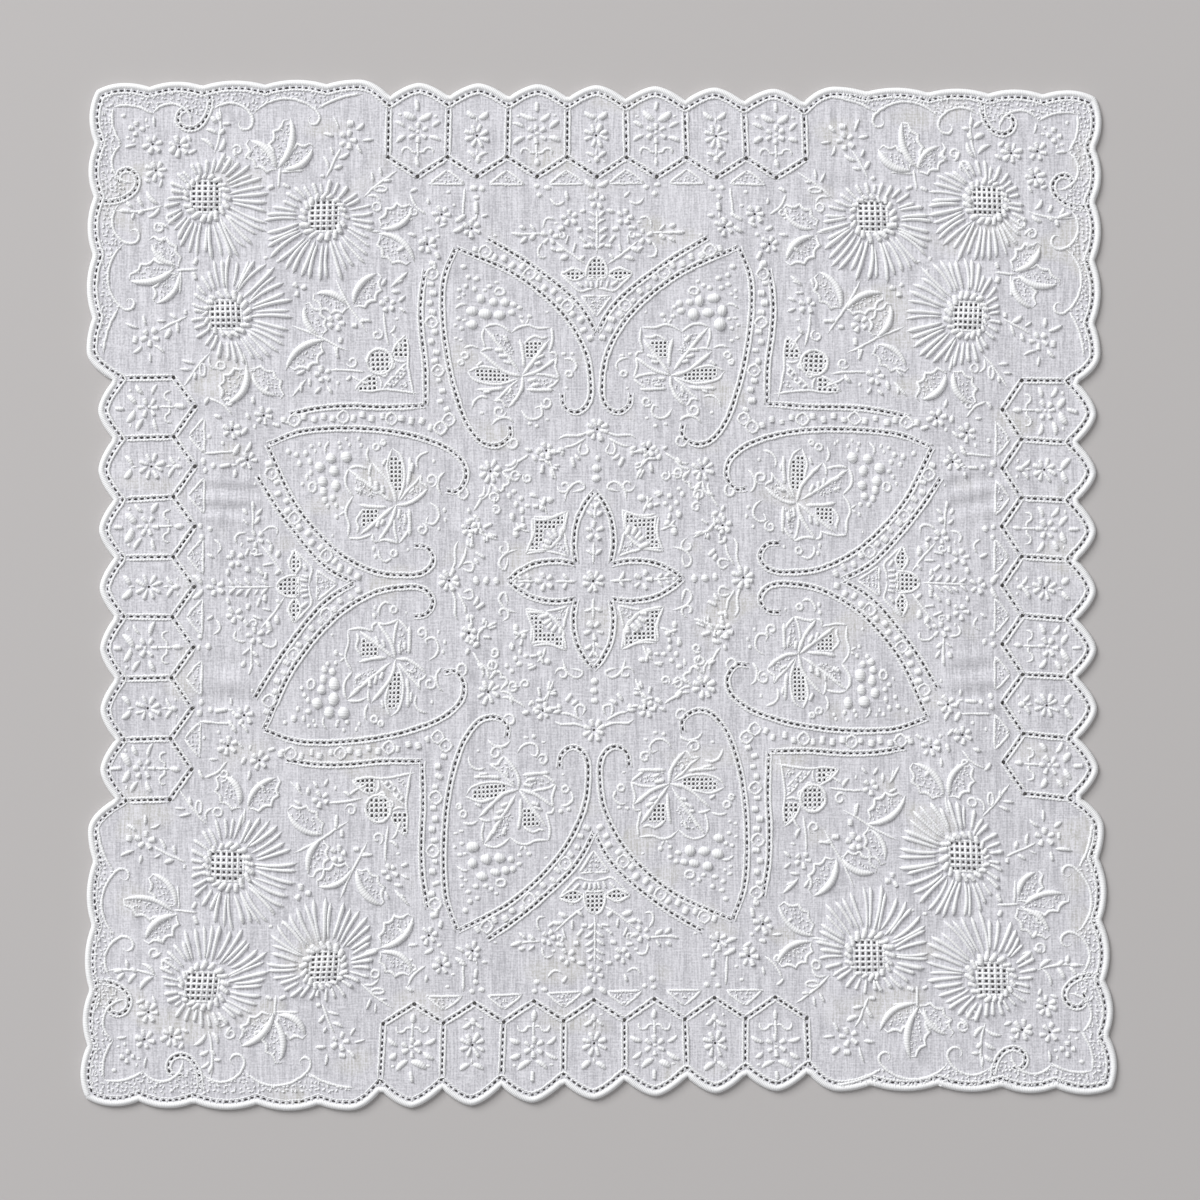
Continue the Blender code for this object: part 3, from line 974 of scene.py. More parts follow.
@dataclass
class Openwork(ThreadWork):
    """Rows of small drawn holes, each row between two whipped lines."""

    name: str = "openwork"
    stray_hole: float = 0.22
    pitch: float = 1.94
    hole_length: float = 1.06
    hole_width: float = 0.62
    # How far the six corners of a hole lie out, as shares of its length and width
    rim_shares: Table = (0.56, 0.52)
    fine_step: float = 0.25
    junction_radius: float = 0.66
    flank_out: float = 0.74
    flank_half_width: float = 0.44
    flank_rise: float = 0.45
    # The least width of a line at its ends, as a share
    flank_end: float = 0.6
    bar_half_width: float = 0.33
    bar_rise: float = 0.2
    edge_inset: float = 2.5
    # How far from a cell's foot, from the edge and from a point the holes of a wall keep
    clear_foot: float = 1.2
    clear_edge: float = 1.0
    clear_point: float = 1.1
    reserve_axis_side: Table = (
        (41.6, 100.9), (24.1, 92.7), (10.6, 81.1), (3.4, 68.9), (1.7, 58.2), (2.6, 52.6), (6.2, 50),
        (9.8, 52), (10.4, 56),
    )
    reserve_corner_side: Table = (
        (41.6, 100.9), (45, 91.8), (45.8, 82), (45.4, 71.9), (44.3, 62.8), (42.6, 55), (39.6, 46.6),
        (35, 40.8), (30, 39.8), (26.2, 42.6), (26.4, 46),
    )
    band_axis_side: Table = ((32.5, 103.8), (21.4, 97), (10, 88.2), (4.2, 82), (0, 74.4))
    band_corner_side: Table = ((50.6, 94.4), (52.2, 84), (52.3, 74), (51.6, 64), (51.8, 51.8))
    star_petal: Table = ((5.2, 5.4), (6, 11), (5.2, 18), (2.6, 23.5), (0, 26.8))
    # start, end, rise, curl, turns
    corner_scroll: Table = ((115.8, 147.4), (118.4, 138.4), 1.2, 4.8, 0.8)

    def draw(self, plan: Plan) -> None:
        """Work out all rows: the edge, the cells, the reserves, the bands and the star."""
        super().draw(plan)
        edge, notches = plan.edge()
        loop = inset_loop(edge, self.edge_inset)
        self.row(np.vstack([loop, loop[:1]]), sides=(1,))
        self.draw_cells(loop, notches)
        controls = (self.reserve_axis_side, self.reserve_corner_side, self.band_axis_side,
                    self.band_corner_side, self.star_petal)
        for curve in [smooth_path(points) for points in controls] + [scallop_path(*self.corner_scroll)]:
            for path in plan.repeated(curve[None]):
                self.row(plan.laid(path))

    def draw_cells(self, loop: np.ndarray, notches: list) -> None:
        """Draw the walls of the edge cells and the zigzag along their inner ends."""
        plan = self.plan
        half = plan.cells * plan.cell_pitch / 2
        for side, (_dip, _cell_dip, inset, _sway) in enumerate(plan.sides):
            across = np.arange(plan.cells + 1) * plan.cell_pitch - half
            shoulder = np.full(len(across), plan.cell_shoulder - plan.cell_follow * inset)
            point = np.full(plan.cells, plan.cell_point - plan.cell_follow * inset)
            feet = plan.laid(plan.to_side(side, np.stack([across, shoulder], axis=-1)))
            between = np.stack([across[:-1] + plan.cell_pitch / 2, point], axis=-1)
            points = plan.laid(plan.to_side(side, between))
            heads = loop[notches[side]]
            for foot, head in zip(feet, heads):
                self.row(np.stack([foot, head]), clear=(self.clear_foot, self.clear_edge))
            for foot, point_, foot_after in zip(feet, points, feet[1:]):
                self.row(np.stack([foot, point_]), clear=(self.clear_foot, self.clear_point))
                self.row(np.stack([point_, foot_after]), clear=(self.clear_point, self.clear_foot))
            self.junctions(np.concatenate([feet, points, heads]))

    def row(self, path: np.ndarray, sides: Table = (1, -1), clear: Table = (0.0, 0.0)) -> None:
        """Cut a row of holes along a path and lay its whipped lines.

        Args:
            path: laid points (m, 2).
            sides: on which sides a line runs, 1 to the left and -1 to the right.
            clear: how much stays free of holes at either end.
        """
        length = length_of(path)
        fine = evenly_along(path, max(3, round(length / self.fine_step) + 1))
        walked = np.linspace(0, length, len(fine))
        along = normalised(np.gradient(fine, axis=0))
        count = max(1, round((length - clear[0] - clear[1]) / self.pitch))
        at = clear[0] + (np.arange(count) + 0.5) * (length - clear[0] - clear[1]) / count
        place = np.stack([np.interp(at, walked, fine[:, k]) for k in (0, 1)], axis=-1)
        ahead = normalised(np.stack([np.interp(at, walked, along[:, k]) for k in (0, 1)], axis=-1))
        angle = np.linspace(0, 2 * math.pi, 7)[:-1] + math.pi / 6
        rim = headings(angle) * np.array([self.hole_length, self.hole_width]) * np.array(self.rim_shares)
        grow = 1 + self.hand.uniform(-self.stray_hole, self.stray_hole, (len(place), 1, 1))
        self.holes.append(place[:, None] + grow * (rim[None, :, :1] * ahead[:, None]
                                                   + rim[None, :, 1:] * turned_left(ahead)[:, None]))
        count = max(3, round(length) + 1)
        coarse = evenly_along(path, count)
        sideways = turned_left(normalised(np.gradient(coarse, axis=0)))
        profile = np.maximum(Shape.CORD.widths(np.linspace(0, 1, count)), self.flank_end)[None]
        for side in sides:
            line = coarse + side * self.flank_out * sideways
            line = line + self.hand.normal(0, self.stray_line, coarse.shape)
            uneven = profile * (1 + self.hand.normal(0, self.stray_size, profile.shape))
            widths, rises = self.flank_half_width * uneven, self.flank_rise * uneven
            self.batches.append(Batch(line[None], widths, rises))
        halfway = turned_left(ahead[:-1] + ahead[1:])[:, None] / 2
        beside = halfway * np.linspace(-1, 1, 3)[:, None] * self.flank_out
        bars = (place[:-1] + place[1:])[:, None] / 2 + beside
        self.even_batch(bars, self.bar_half_width, self.bar_rise)

    def junctions(self, centres: np.ndarray) -> None:
        """Cut a round hole where rows meet."""
        self.holes.append(centres[:, None] + around(8) * self.junction_radius)


@dataclass
class CordedEdge:
    """The buttonholed cord along the scalloped edge."""

    width: float = 2.3
    top: float = 1.65
    # How far it stays above the table
    foot: float = 0.02
    stations: int = 1200
    ring: int = 9
    name: str = "corded_edge"

    def build(self, plan: Plan, finish: bpy.types.Material) -> bpy.types.Object:
        """Make the cord: half an ellipse that stands on the table and runs around the whole cloth."""
        edge, _notches = plan.edge()
        path = evenly_along(np.vstack([edge, edge[:1]]), self.stations + 1)[:-1]
        path = inset_loop(path, self.width / 2)
        maker = MeshMaker(plan, self.ring)
        full = np.ones((1, len(path)))
        cord = Batch(path[None], full * self.width / 2, full * (self.top - self.foot), True)
        maker.add(cord, level=self.foot)
        return finished(maker.build(self.name), finish)


@dataclass
class Lawn:
    """The sheet of fine lawn, with all drawn holes cut through."""

    name: str = "lawn"
    grid: float = 7.0
    # How far its rim lies inside the edge, and how far the grid stays inside it
    inset: float = 0.9
    margin: float = 4.0
    thickness: float = 0.28
    # The finer grid of a pucker: its reach as a share of the pucker's, its step, and points to a wave
    fine_reach: float = 1.3
    fine_step: float = 2.4
    fine_per_wave: int = 8

    def build(self, plan: Plan, holes: list[np.ndarray], finish: bpy.types.Material) -> bpy.types.Object:
        """Make the sheet.

        Args:
            plan: where it lies.
            holes: outlines of the holes, arrays (n, corners, 2).
            finish: its material.

        Returns:
            The object: the outline filled with triangles, those in holes left out, each point at the
            height of the lawn's face, and a thin wall below.
        """
        edge, _notches = plan.edge()
        rim = inset_loop(edge, self.inset)
        low, high = edge.min(axis=0), edge.max(axis=0)
        spread = [grid_points(*(np.arange(low[k], high[k], self.grid) for k in (0, 1)))]
        for x, y, half_width, half_height, wavelength, _rise, _slant in plan.puckers:
            across, up = self.fine_reach * half_width, self.fine_reach * half_height
            spread.append(grid_points(np.arange(x - across, x + across, self.fine_step),
                                      np.arange(y - up, y + up, wavelength / self.fine_per_wave)))
        spread = np.concatenate(spread)
        spread = spread[inside(spread, inset_loop(edge, self.margin))]
        holes = [counter_clockwise(group) for group in holes]
        points = np.concatenate([rim] + [group.reshape(-1, 2) for group in holes] + [spread])
        faces, first = [list(range(len(rim)))], len(rim)
        for group in holes:
            count, corners = group.shape[:2]
            faces += (np.arange(count * corners).reshape(count, corners) + first).tolist()
            first += count * corners
        flat = [Vector(point) for point in points.tolist()]
        filled = delaunay_2d_cdt(flat, [], faces, 1, 0.01)
        corners = np.array([tuple(point) for point in filled[0]])
        kept = [face for face, source in zip(filled[2], filled[5]) if max(source, default=0) <= 0]
        top = np.column_stack([corners, plan.height(corners)])
        mesh = closed_sheet(self.name, top, np.array(kept), self.thickness)
        lawn = new_object(self.name, mesh)
        size = tuple((high - low) * MM)
        self.area(edge)
        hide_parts("cloth")
        return finished(lawn, finish)

    def area(self, edge: np.ndarray) -> float:
        """Measure the area within the edge in square metres, from the cross products of its sides."""
        after = np.roll(edge, -1, axis=0)
        return float(abs((edge[:, 0] * after[:, 1] - edge[:, 1] * after[:, 0]).sum()) / 2) * MM * MM


@dataclass
class Asters(Needlework):
    """The large asters of the corners: a lattice, a ring of blocks, and long petals in satin stitch."""

    name: str = "asters"
    # Middle of the lattice, middle and radii of the ring of tips, petals, mirrored
    flowers_large: Table = (
        ((116.7, 116.7), (113.4, 113.4), (15.6, 15.6), 37, False),
        ((81.3, 110.8), (82.4, 106.3), (16.5, 15.2), 36, True),
    )
    stray_turn: float = 0.045
    stray_spoke: float = 0.12
    petal_half_width: float = 0.71
    petal_rise: float = 1.02
    # Least and greatest reach of a tip, as a share of the ring, and bend of a petal
    tip_reach: Table = (0.92, 1.04)
    petal_bend: Table = (-0.03, 0.07)
    # Where short petals start, and where those start that reach past a length
    short_start: float = 6.5
    long_start: float = 7.9
    long_from: float = 12.5
    # The lattice: distances and half sizes of its holes, and reach, half width and rise of its bars
    hole_pitch: Table = (1.74, 1.56)
    hole_half: float = 0.37
    bar_reach: Table = (4.7, 4.9)
    bar_half_width: float = 0.4
    bar_rise: float = 0.3
    # The wreath of blocks around it: how many, and for both ends distance, more if plump, and turn
    wreath: int = 19
    wreath_start: Table = (5.2, 0.2, -0.1)
    wreath_end: Table = (6.8, 1.2, 0.14)
    wreath_bow: float = 0.1
    # Half width of a block, and how much more if plump
    wreath_half_width: Table = (0.68, 0.18)
    wreath_rise: float = 1.0

    def draw(self, plan: Plan) -> None:
        """Work out lattices, blocks and petals."""
        super().draw(plan)
        share = np.linspace(0, 1, 9)
        for lattice, ring, radii, petals, mirrored in self.flowers_large:
            lattice, ring = np.array(lattice), np.array(ring)
            strayed = np.arange(petals) + self.hand.uniform(-self.stray_spoke, self.stray_spoke, petals)
            spokes = headings(2 * math.pi * strayed / petals)
            tips = ring + spokes * np.array(radii) * self.hand.uniform(*self.tip_reach, (petals, 1))
            reach = tips - lattice
            length = np.linalg.norm(reach, axis=1, keepdims=True)
            start = np.where(length > self.long_from, self.long_start, self.short_start)
            bend = self.hand.uniform(*self.petal_bend, petals)
            paths = bowed(lattice + reach / length * start, tips, share, bend)
            self.stitch(paths, self.petal_half_width, self.petal_rise, Shape.PETAL, share, mirrored)
            self.draw_heart(lattice, ring, mirrored)

    def draw_heart(self, lattice: np.ndarray, ring: np.ndarray, mirrored: bool) -> None:
        """Draw a flower's lattice, and the blocks around it, which are plumper towards the ring."""
        pitch = np.array(self.hole_pitch)
        grid = grid_points(np.arange(-2, 3), np.arange(-2.5, 3)) * pitch
        self.pierce(lattice + grid[:, None] + SQUARE * self.hole_half, mirrored)
        upright, level = np.arange(-2.5, 3) * pitch[0], np.arange(-3, 4) * pitch[1]
        wide, tall = np.full(len(level), self.bar_reach[0]), np.full(len(upright), self.bar_reach[1])
        starts = np.concatenate([np.stack([upright, -tall], -1), np.stack([-wide, level], -1)])
        ends = np.concatenate([np.stack([upright, tall], -1), np.stack([wide, level], -1)])
        self.lay_bars(lattice + starts, lattice + ends, self.bar_half_width, self.bar_rise, mirrored)
        away = math.atan2(*(ring - lattice)[::-1])
        angle = away + 2 * math.pi * (np.arange(self.wreath) + 0.5) / self.wreath
        plump = 0.5 + 0.5 * np.cos(angle - away)[:, None]
        starts, ends = (lattice + headings(angle + turn) * (distance + more * plump)
                        for distance, more, turn in (self.wreath_start, self.wreath_end))
        paths = bowed(starts, ends, BAR_STATIONS, self.wreath_bow)
        slim, more = self.wreath_half_width
        widths = slim + more * plump[:, 0]
        self.stitch(paths, widths, self.wreath_rise, Shape.BLOCK, BAR_STATIONS, mirrored)


@dataclass
class EdgeCells(Needlework):
    """The little sprays in the cells along each side, and the seeded peaks below their walls."""

    name: str = "edge_cells"
    follow: bool = True
    plump: float = 1.4
    # Middles of the cells, across from the middle of a side
    daisy_cells: Table = (0, 35.6)
    spray_cells: Table = (17.8, 53.4)
    wall_feet: Table = (8.9, 26.7, 44.5)
    # The peak below each wall: its half width, and how far out its feet, top and bends lie
    peak: Table = (5.2, 120.6, 124.9, 122.3)
    # Leaves and curled stems beside the middle of a cell, each set on both its sides
    daisy_leaves: Table = ((0.3, 140.6, 3.4, 142.9, -0.12, 0.7), (0.5, 128.4, 3.2, 130.3, 0.12, 0.5))
    spray_leaves: Table = (
        (0.5, 140, 4.1, 142.5, -0.1, 0.78), (3.9, 137.6, 6.9, 139.5, 0.1, 0.6),
        (3.6, 134.9, 7, 133.3, 0.1, 0.6),
    )
    spray_stem: Table = ((0, 130.4), (1.6, 130), (2.6, 131.4), (4.4, 131.2), (4.7, 129.6))

    def draw(self, plan: Plan) -> None:
        """Fill the tables for every cell, then work the stitches out."""
        flowers, leaves, blocks, dots, stems, seeded = [], [], [], [], [], []
        for middle in self.daisy_cells:
            flowers.append((middle, 135.3, 8, 0.95, 3.8, 0.6, 22.5))
            leaves += self.on_both_sides(middle, self.daisy_leaves)
            leaves.append((middle, 126.8, middle, 129.4, 0, 0.7))
            stems += [((middle, 129.4), (middle, 131.4)), ((middle, 139.2), (middle, 141))]
            dots += [(middle + side * 2.3, 127.3, 0.5) for side in (1, -1)]
        for middle in self.spray_cells:
            flowers.append((middle, 136, 6, 1.1, 3.1, 0.66, 30))
            dots.append((middle, 136, 0.6))
            blocks.append((middle, 144.3, 3, 0.5, 90))
            leaves += self.on_both_sides(middle, self.spray_leaves)
            stems.append(((middle, 133.2), (middle, 128.6)))
            stems += [tuple((middle + side * across, out) for across, out in self.spray_stem)
                      for side in (1, -1)]
            leaves.append((middle, 125.8, middle, 128.8, 0, 0.65))
            dots += [(middle + side * 5.4, 141.3, 0.55) for side in (1, -1)]
        half_width, low_out, top_out, bend_out = self.peak
        for foot in self.wall_feet:
            left, top, right = (foot - half_width, low_out), (foot, top_out), (foot + half_width, low_out)
            seeded.append((left, top, right))
            stems += [(low, ((2 * low[0] + foot) / 3, bend_out), top) for low in (left, right)]
            stems.append((left, right))
        self.flowers, self.leaves, self.blocks = tuple(flowers), tuple(leaves), tuple(blocks)
        self.dots, self.stems, self.seeded = tuple(dots), tuple(stems), tuple(seeded)
        super().draw(plan)

    def on_both_sides(self, middle: float, rows: Table) -> list:
        """Set leaves on either side of a middle, mirrored."""
        return [(middle + side * start, start_out, middle + side * end, end_out, side * bend, half_width)
                for start, start_out, end, end_out, bend, half_width in rows for side in (1, -1)]


@dataclass
class CornerBand(Needlework):
    """The seeded band along the corners' edge, whose inner line is scallops that end in curls."""

    name: str = "corner_band"
    seed_pitch: float = 1.3
    seed_reach: float = 0.62
    seed_half_width: float = 0.42
    seed_rise: float = 0.58
    # start, end, rise, curl, turns
    scallops: Table = (
        ((144, 144), (132.5, 141.5), 1.4, 0, 0), ((132.5, 141.5), (121, 139.8), 4, 3.4, 0.12),
        ((114.8, 142.4), (102.8, 140.4), 3.4, 3.2, 0.75), ((102.6, 141.4), (83.6, 141.8), 4.5, 2.6, 0.85),
        ((83.4, 142.8), (70, 147.2), 1, 0, 0),
    )
    band_outside: Table = ((70, 148.4), (104, 148.4), (148.2, 148.2))

    def draw(self, plan: Plan) -> None:
        """Lay the scallops, then fill the band between them and the edge with seeds."""
        super().draw(plan)
        for row in self.scallops:
            self.draw_stem(scallop_path(*row), width=1.1)
        arcs = [scallop_path(start, end, rise) for start, end, rise, _curl, _turns in self.scallops]
        self.draw_seeds(np.vstack(arcs + [np.array(self.band_outside)]))


@dataclass
class FilledLeaves(Needlework):
    """Larger leaves: one half a satin crescent, the other a jagged line around seeds."""

    name: str = "filled_leaves"
    stray_turn: float = 0.03
    # Shares of a leaf's breadth by which the crescent, the jagged line and the seeds' two sides bow
    crescent_bow: float = 0.72
    jagged_bow: float = 1.15
    seeds_bow: Table = (0.35, 0.85)
    crescent_half_width: float = 1.05
    crescent_rise: float = 1.0
    # How far every third point of the jagged line stands out
    jag: float = 0.95
    jag_points: int = 13
    # from_across, from_out, to_across, to_out, crescent_side, breadth
    large: Table = (
        (95.6, 124.6, 103.6, 133.8, 1, 0.24), (95.2, 125.6, 91.6, 139.6, 1, 0.2),
        (93.6, 124.8, 84.6, 131.2, 1, 0.26), (64.6, 106.6, 54.6, 112.6, 1, 0.26),
        (64.6, 105, 55.2, 96.8, -1, 0.26), (72.2, 82.8, 65.2, 93.3, -1, 0.24),
        (73.6, 82.6, 84, 87.2, 1, 0.24),
    )
    stems: Table = (
        ((95, 119), (94.8, 122), (94.6, 125.4)), ((94.4, 124), (91, 124.2), (87.6, 124.4)),
        ((69.6, 106.8), (67, 106), (64.4, 105.8)), ((77.5, 91.3), (74.2, 84), (70.9, 78.5), (68.9, 74.7)),
    )
    blocks: Table = (
        (69, 78.4, 3.4, 0.45, 172), (92.9, 119.8, 2.2, 0.6, 25), (97.2, 119.6, 2.2, 0.6, 155),
    )

    def draw(self, plan: Plan) -> None:
        """Work out the large leaves beside the tables."""
        super().draw(plan)
        share = np.linspace(0, 1, 9)
        table = np.array(self.large, float)
        starts, ends = table[:, :2], table[:, 2:4]
        bend = table[:, 4] * table[:, 5]
        crescent = bowed(starts, ends, share, bend * self.crescent_bow)
        self.stitch(crescent, self.crescent_half_width, self.crescent_rise, Shape.LEAF, share)
        far = bowed(starts, ends, np.linspace(0, 1, self.jag_points), -bend * self.jagged_bow)
        sideways = turned_left(normalised(np.gradient(far, axis=1)))
        jag = np.where(np.arange(self.jag_points) % 3 == 2, self.jag, 0.0)[:, None]
        for path in far + sideways * (jag * -np.sign(table[:, 4])[:, None, None]):
            self.draw_stem(path, width=1.25)
        near_bow, far_bow = self.seeds_bow
        near = bowed(starts, ends, share, bend * near_bow)
        for near_path, far_path in zip(near, bowed(starts, ends, share, -bend * far_bow)):
            self.draw_seeds(np.concatenate([near_path, far_path[::-1]]))


@dataclass
class CornerSprays(Needlework):
    """Small flowers, sprigs and tendrils among the asters."""

    name: str = "corner_sprays"
    plump: float = 1.35
    flowers: Table = (
        (132.4, 132.4, 6, 0.8, 3, 0.7, 45), (124.5, 131.6, 7, 0.85, 3.2, 0.7, 20),
        (74.6, 133.5, 5, 0.9, 2.9, 0.78, 40), (78, 78, 5, 0.8, 2.7, 0.82, 45),
        (62.2, 83.4, 5, 0.8, 2.6, 0.75, 10), (88.8, 88.8, 3, 0.7, 2.4, 0.8, 45),
        (137.4, 137.4, 4, 0.8, 2.3, 0.75, 0),
    )
    leaves: Table = (
        (112.4, 139, 112.8, 142.4, 0, 0.5), (113.2, 138.8, 115.6, 140.6, 0.1, 0.55),
        (112, 138.2, 109.4, 138.6, 0, 0.5), (113.4, 135.4, 116.6, 137, 0.1, 0.6),
        (112.8, 135.2, 111.2, 137.2, 0, 0.55), (114.2, 131, 118.2, 133.6, 0.14, 0.55),
        (113.4, 130.4, 110.8, 134, 0.14, 0.6), (121, 133.2, 122.2, 135.2, 0, 0.5),
        (119.4, 130.6, 121.6, 129.6, 0, 0.45), (137.6, 131.8, 141, 131.9, 0.05, 0.4),
        (77.4, 127.8, 74, 129.2, 0.1, 0.55), (78.9, 124.8, 75.6, 125.4, 0, 0.52),
        (80, 125, 81.7, 127.9, 0.1, 0.55), (78.9, 128.9, 79.8, 131.2, 0, 0.36),
        (72, 136.2, 70, 138.6, 0.1, 0.55), (70.2, 133.3, 67, 133.5, 0, 0.42),
        (71.4, 132.2, 69.8, 129.2, 0.1, 0.42), (78.4, 134.7, 81.6, 135.3, 0, 0.52),
        (77.4, 136.4, 79, 140.8, 0.05, 0.4), (66.6, 120.8, 67.4, 124, 0, 0.38),
        (64.6, 122.2, 64.8, 125.2, 0, 0.38), (63.8, 121, 61.4, 121.2, 0, 0.42),
        (60.8, 88.7, 56.5, 93.2, 0, 0.5), (60, 90, 57.4, 90.8, 0, 0.45), (61, 87.5, 58.4, 87.3, 0, 0.5),
        (58.8, 84.4, 56.6, 85.8, 0, 0.45), (58.6, 82.4, 56.6, 81, 0, 0.45),
        (62.2, 74.4, 60, 76.8, 0.15, 0.5), (63.9, 89, 62.6, 91.4, 0, 0.4),
        (59.6, 100, 57, 102.4, 0.1, 0.5), (128.4, 107, 131.2, 108.6, 0.1, 0.5),
        (128.2, 104.6, 130, 102.4, 0.1, 0.5),
    )
    blocks: Table = (
        (73.8, 138, 2, 0.75, 0), (82, 122.6, 1.4, 0.5, 0), (68.9, 78.6, 3.8, 0.45, 4),
        (72.4, 76.9, 1.9, 0.6, 0),
    )
    rings: Table = ((64.5, 118.6, 1.9, 0.8), (65.7, 113.3, 1.2, 1.2))
    dots: Table = (
        (141.2, 141.2, 0.75), (133.8, 138, 0.6), (140, 134.4, 0.6), (98.4, 98.4, 0.7), (94.6, 97.4, 0.6),
        (59.4, 78.8, 0.6), (60.4, 96.4, 0.55),
    )
    stems: Table = (
        ((76.4, 130.8), (78, 128.2), (79.4, 125), (80.8, 122.2)),
        ((112.5, 143.8), (112.2, 138), (112.9, 133), (114, 129.6)),
        ((69.6, 116.2), (66, 119.5), (59.6, 124)),
        ((68.6, 116.4), (66.6, 116.7), (65.2, 115.9), (64.5, 114.6)),
        ((63.4, 81), (63.2, 75.8), (62.4, 70.4)), ((58.4, 69), (60, 72.6), (61.4, 74.4)),
    )
    curls: Table = (
        (107.3, 130.6, 1.7, 0, 1.2), (65.7, 73.9, 1.9, 100, 1.1), (99.2, 131, 1.4, 120, 1.1),
        (127, 110.4, 1.9, 200, 1.2),
    )


@dataclass
class DiagonalBuds(Needlework):
    """The drawn bud on each diagonal, between two drawn leaves, over a ribbed band and a seeded peak."""

    name: str = "diagonal_buds"
    # The bud: across, out, radius, then the width of its rim and the distance between its holes
    bud: Table = (65.4, 65.4, 4)
    bud_rim: float = 0.4
    bud_pitch: float = 1.45
    lattices: Table = (
        (((57.4, 72.6), (60, 70), (61, 67.4), (58.6, 66), (56.9, 66.2), (56.7, 70.5)), 1.45),
    )
    stems: Table = (
        ((57, 73.6), (59.7, 71.2), (61.6, 67.6)), ((61.2, 66.2), (59, 65.2), (57, 65.6)),
        ((57, 73.4), (56.4, 68.5), (56.7, 63.4), (55.2, 53.8)), ((57, 64.8), (59.3, 62.9), (60.9, 60.9)),
        ((57.3, 62), (58.7, 60.7), (59.6, 59.6)),
    )
    seeded: Table = (((55.8, 55.8), (59.2, 59.2), (57.2, 61.2)),)
    rings: Table = ((61.7, 64.2, 0.9, 0.9),)
    blocks: Table = ((60.2, 60.2, 1, 0.4, 45), (59.2, 61.6, 1.2, 0.4, 48), (58.1, 62.7, 1.3, 0.4, 52))

    def draw(self, plan: Plan) -> None:
        """Work out the tables, then the round bud with its lattice."""
        super().draw(plan)
        *middle, radius = self.bud
        self.draw_stem(np.array(middle) + radius * around(16), closed=True, width=1.2)
        self.draw_lattice(np.array(middle) + (radius - self.bud_rim) * around(16), self.bud_pitch)


@dataclass
class SideSprays(Needlework):
    """The spray over the middle of each side, and the flowers at the ends of the bands."""

    name: str = "side_sprays"
    plump: float = 1.35
    flowers: Table = (
        (0, 115.2, 5, 0.75, 2.6, 0.72, 90), (8.2, 110, 5, 0.75, 2.5, 0.72, 80),
        (14.1, 104.2, 5, 0.75, 2.5, 0.7, 100), (50.4, 102, 6, 0.8, 2.8, 0.68, 15),
        (46.2, 111, 6, 0.8, 2.8, 0.68, 5), (37.2, 106.8, 6, 0.8, 2.8, 0.68, 25),
    )
    leaves: Table = (
        (0.5, 100.4, 2.7, 102, 0.1, 0.42), (0.5, 102.8, 2.8, 104.5, 0.1, 0.44),
        (0.5, 105.2, 2.8, 107, 0.1, 0.46), (0.5, 107.6, 2.6, 109.4, 0.1, 0.42),
        (0.5, 109.8, 2.3, 111.6, 0.1, 0.4), (0.4, 119.2, 3.6, 121.6, -0.14, 0.72),
        (8.4, 115.6, 9.6, 117.8, 0, 0.5), (9.6, 100.4, 12.8, 99.4, 0.1, 0.62),
        (8, 98, 11.2, 97.2, 0.1, 0.66), (3, 112.1, 5.2, 111.8, 0, 0.55), (49, 106.3, 51.6, 107, 0, 0.6),
        (53.4, 104.8, 56.2, 105, 0, 0.5), (39.6, 109.8, 42.2, 108.8, 0.1, 0.62),
        (39.6, 107.4, 42.6, 105.8, -0.1, 0.55), (50.6, 116.2, 50.2, 113.8, 0, 0.5),
        (44.4, 108.6, 46.8, 107, 0, 0.5), (38.8, 110.8, 41.2, 109.6, 0, 0.55),
        (21.2, 106.8, 23.2, 107.6, 0, 0.6), (22.2, 104.8, 25.4, 105.6, 0, 0.5),
        (21, 104.2, 23, 102.6, 0, 0.5), (18.2, 104.8, 20, 103, 0, 0.62), (18, 106, 19.8, 107.8, 0, 0.4),
        (32.2, 110.6, 34.4, 110.4, 0, 0.5), (53.6, 118.6, 56, 117.2, 0.1, 0.5),
        (3.6, 98.6, 5.2, 97, 0, 0.5),
    )
    blocks: Table = (
        (5.4, 106.3, 1.7, 0.6, 0), (10.5, 106.7, 2.2, 0.5, -10), (4.4, 103.2, 2.6, 0.48, 40),
        (3.2, 101.4, 2.2, 0.48, 5), (6.8, 100.9, 3, 0.34, 100), (9.1, 103.4, 2.8, 0.3, 105),
        (35.7, 113.2, 3.2, 0.52, 90), (47.3, 98.6, 2.4, 0.5, 70), (48, 95.2, 1.8, 0.5, 80),
        (13, 100.4, 2, 0.4, 40),
    )
    dots: Table = (
        (17.9, 119.5, 0.9), (14.8, 119.2, 0.9), (17.2, 117, 0.95), (36.9, 119, 0.95), (33.9, 118.7, 0.95),
        (35.7, 116.2, 0.9), (36.6, 109.6, 0.7), (44, 117.6, 0.7), (47, 104.6, 0.7), (42.4, 113.6, 0.6),
        (30.2, 104.6, 0.55), (12.4, 108.4, 0.55), (55.4, 109.6, 0.5),
    )
    stems: Table = (
        ((0, 98.9), (0, 105), (0, 112.4)), ((3.2, 95.8), (7.5, 98.8), (12.1, 102.6)),
        ((16.4, 105.2), (20.6, 105.1), (25.2, 105.4)),
        ((9.6, 115), (11, 114), (12.6, 114.1), (13.9, 115.8)),
        ((12.6, 109.4), (14.2, 110.1), (15.6, 109.2), (16, 106.8)), ((35.7, 109.6), (35.7, 111.4)),
        ((39.2, 119), (39.6, 113.4), (39.8, 110.6)),
        ((16.2, 102.4), (17.4, 100.7), (17.5, 98.9), (16.6, 97.9), (15, 98.2)),
        ((50.8, 111), (54, 113.6), (55.8, 117.2)),
    )
    curls: Table = ((10.6, 104.6, 1.2, 90, 1), (54.4, 111.8, 1.4, 80, -1.1))


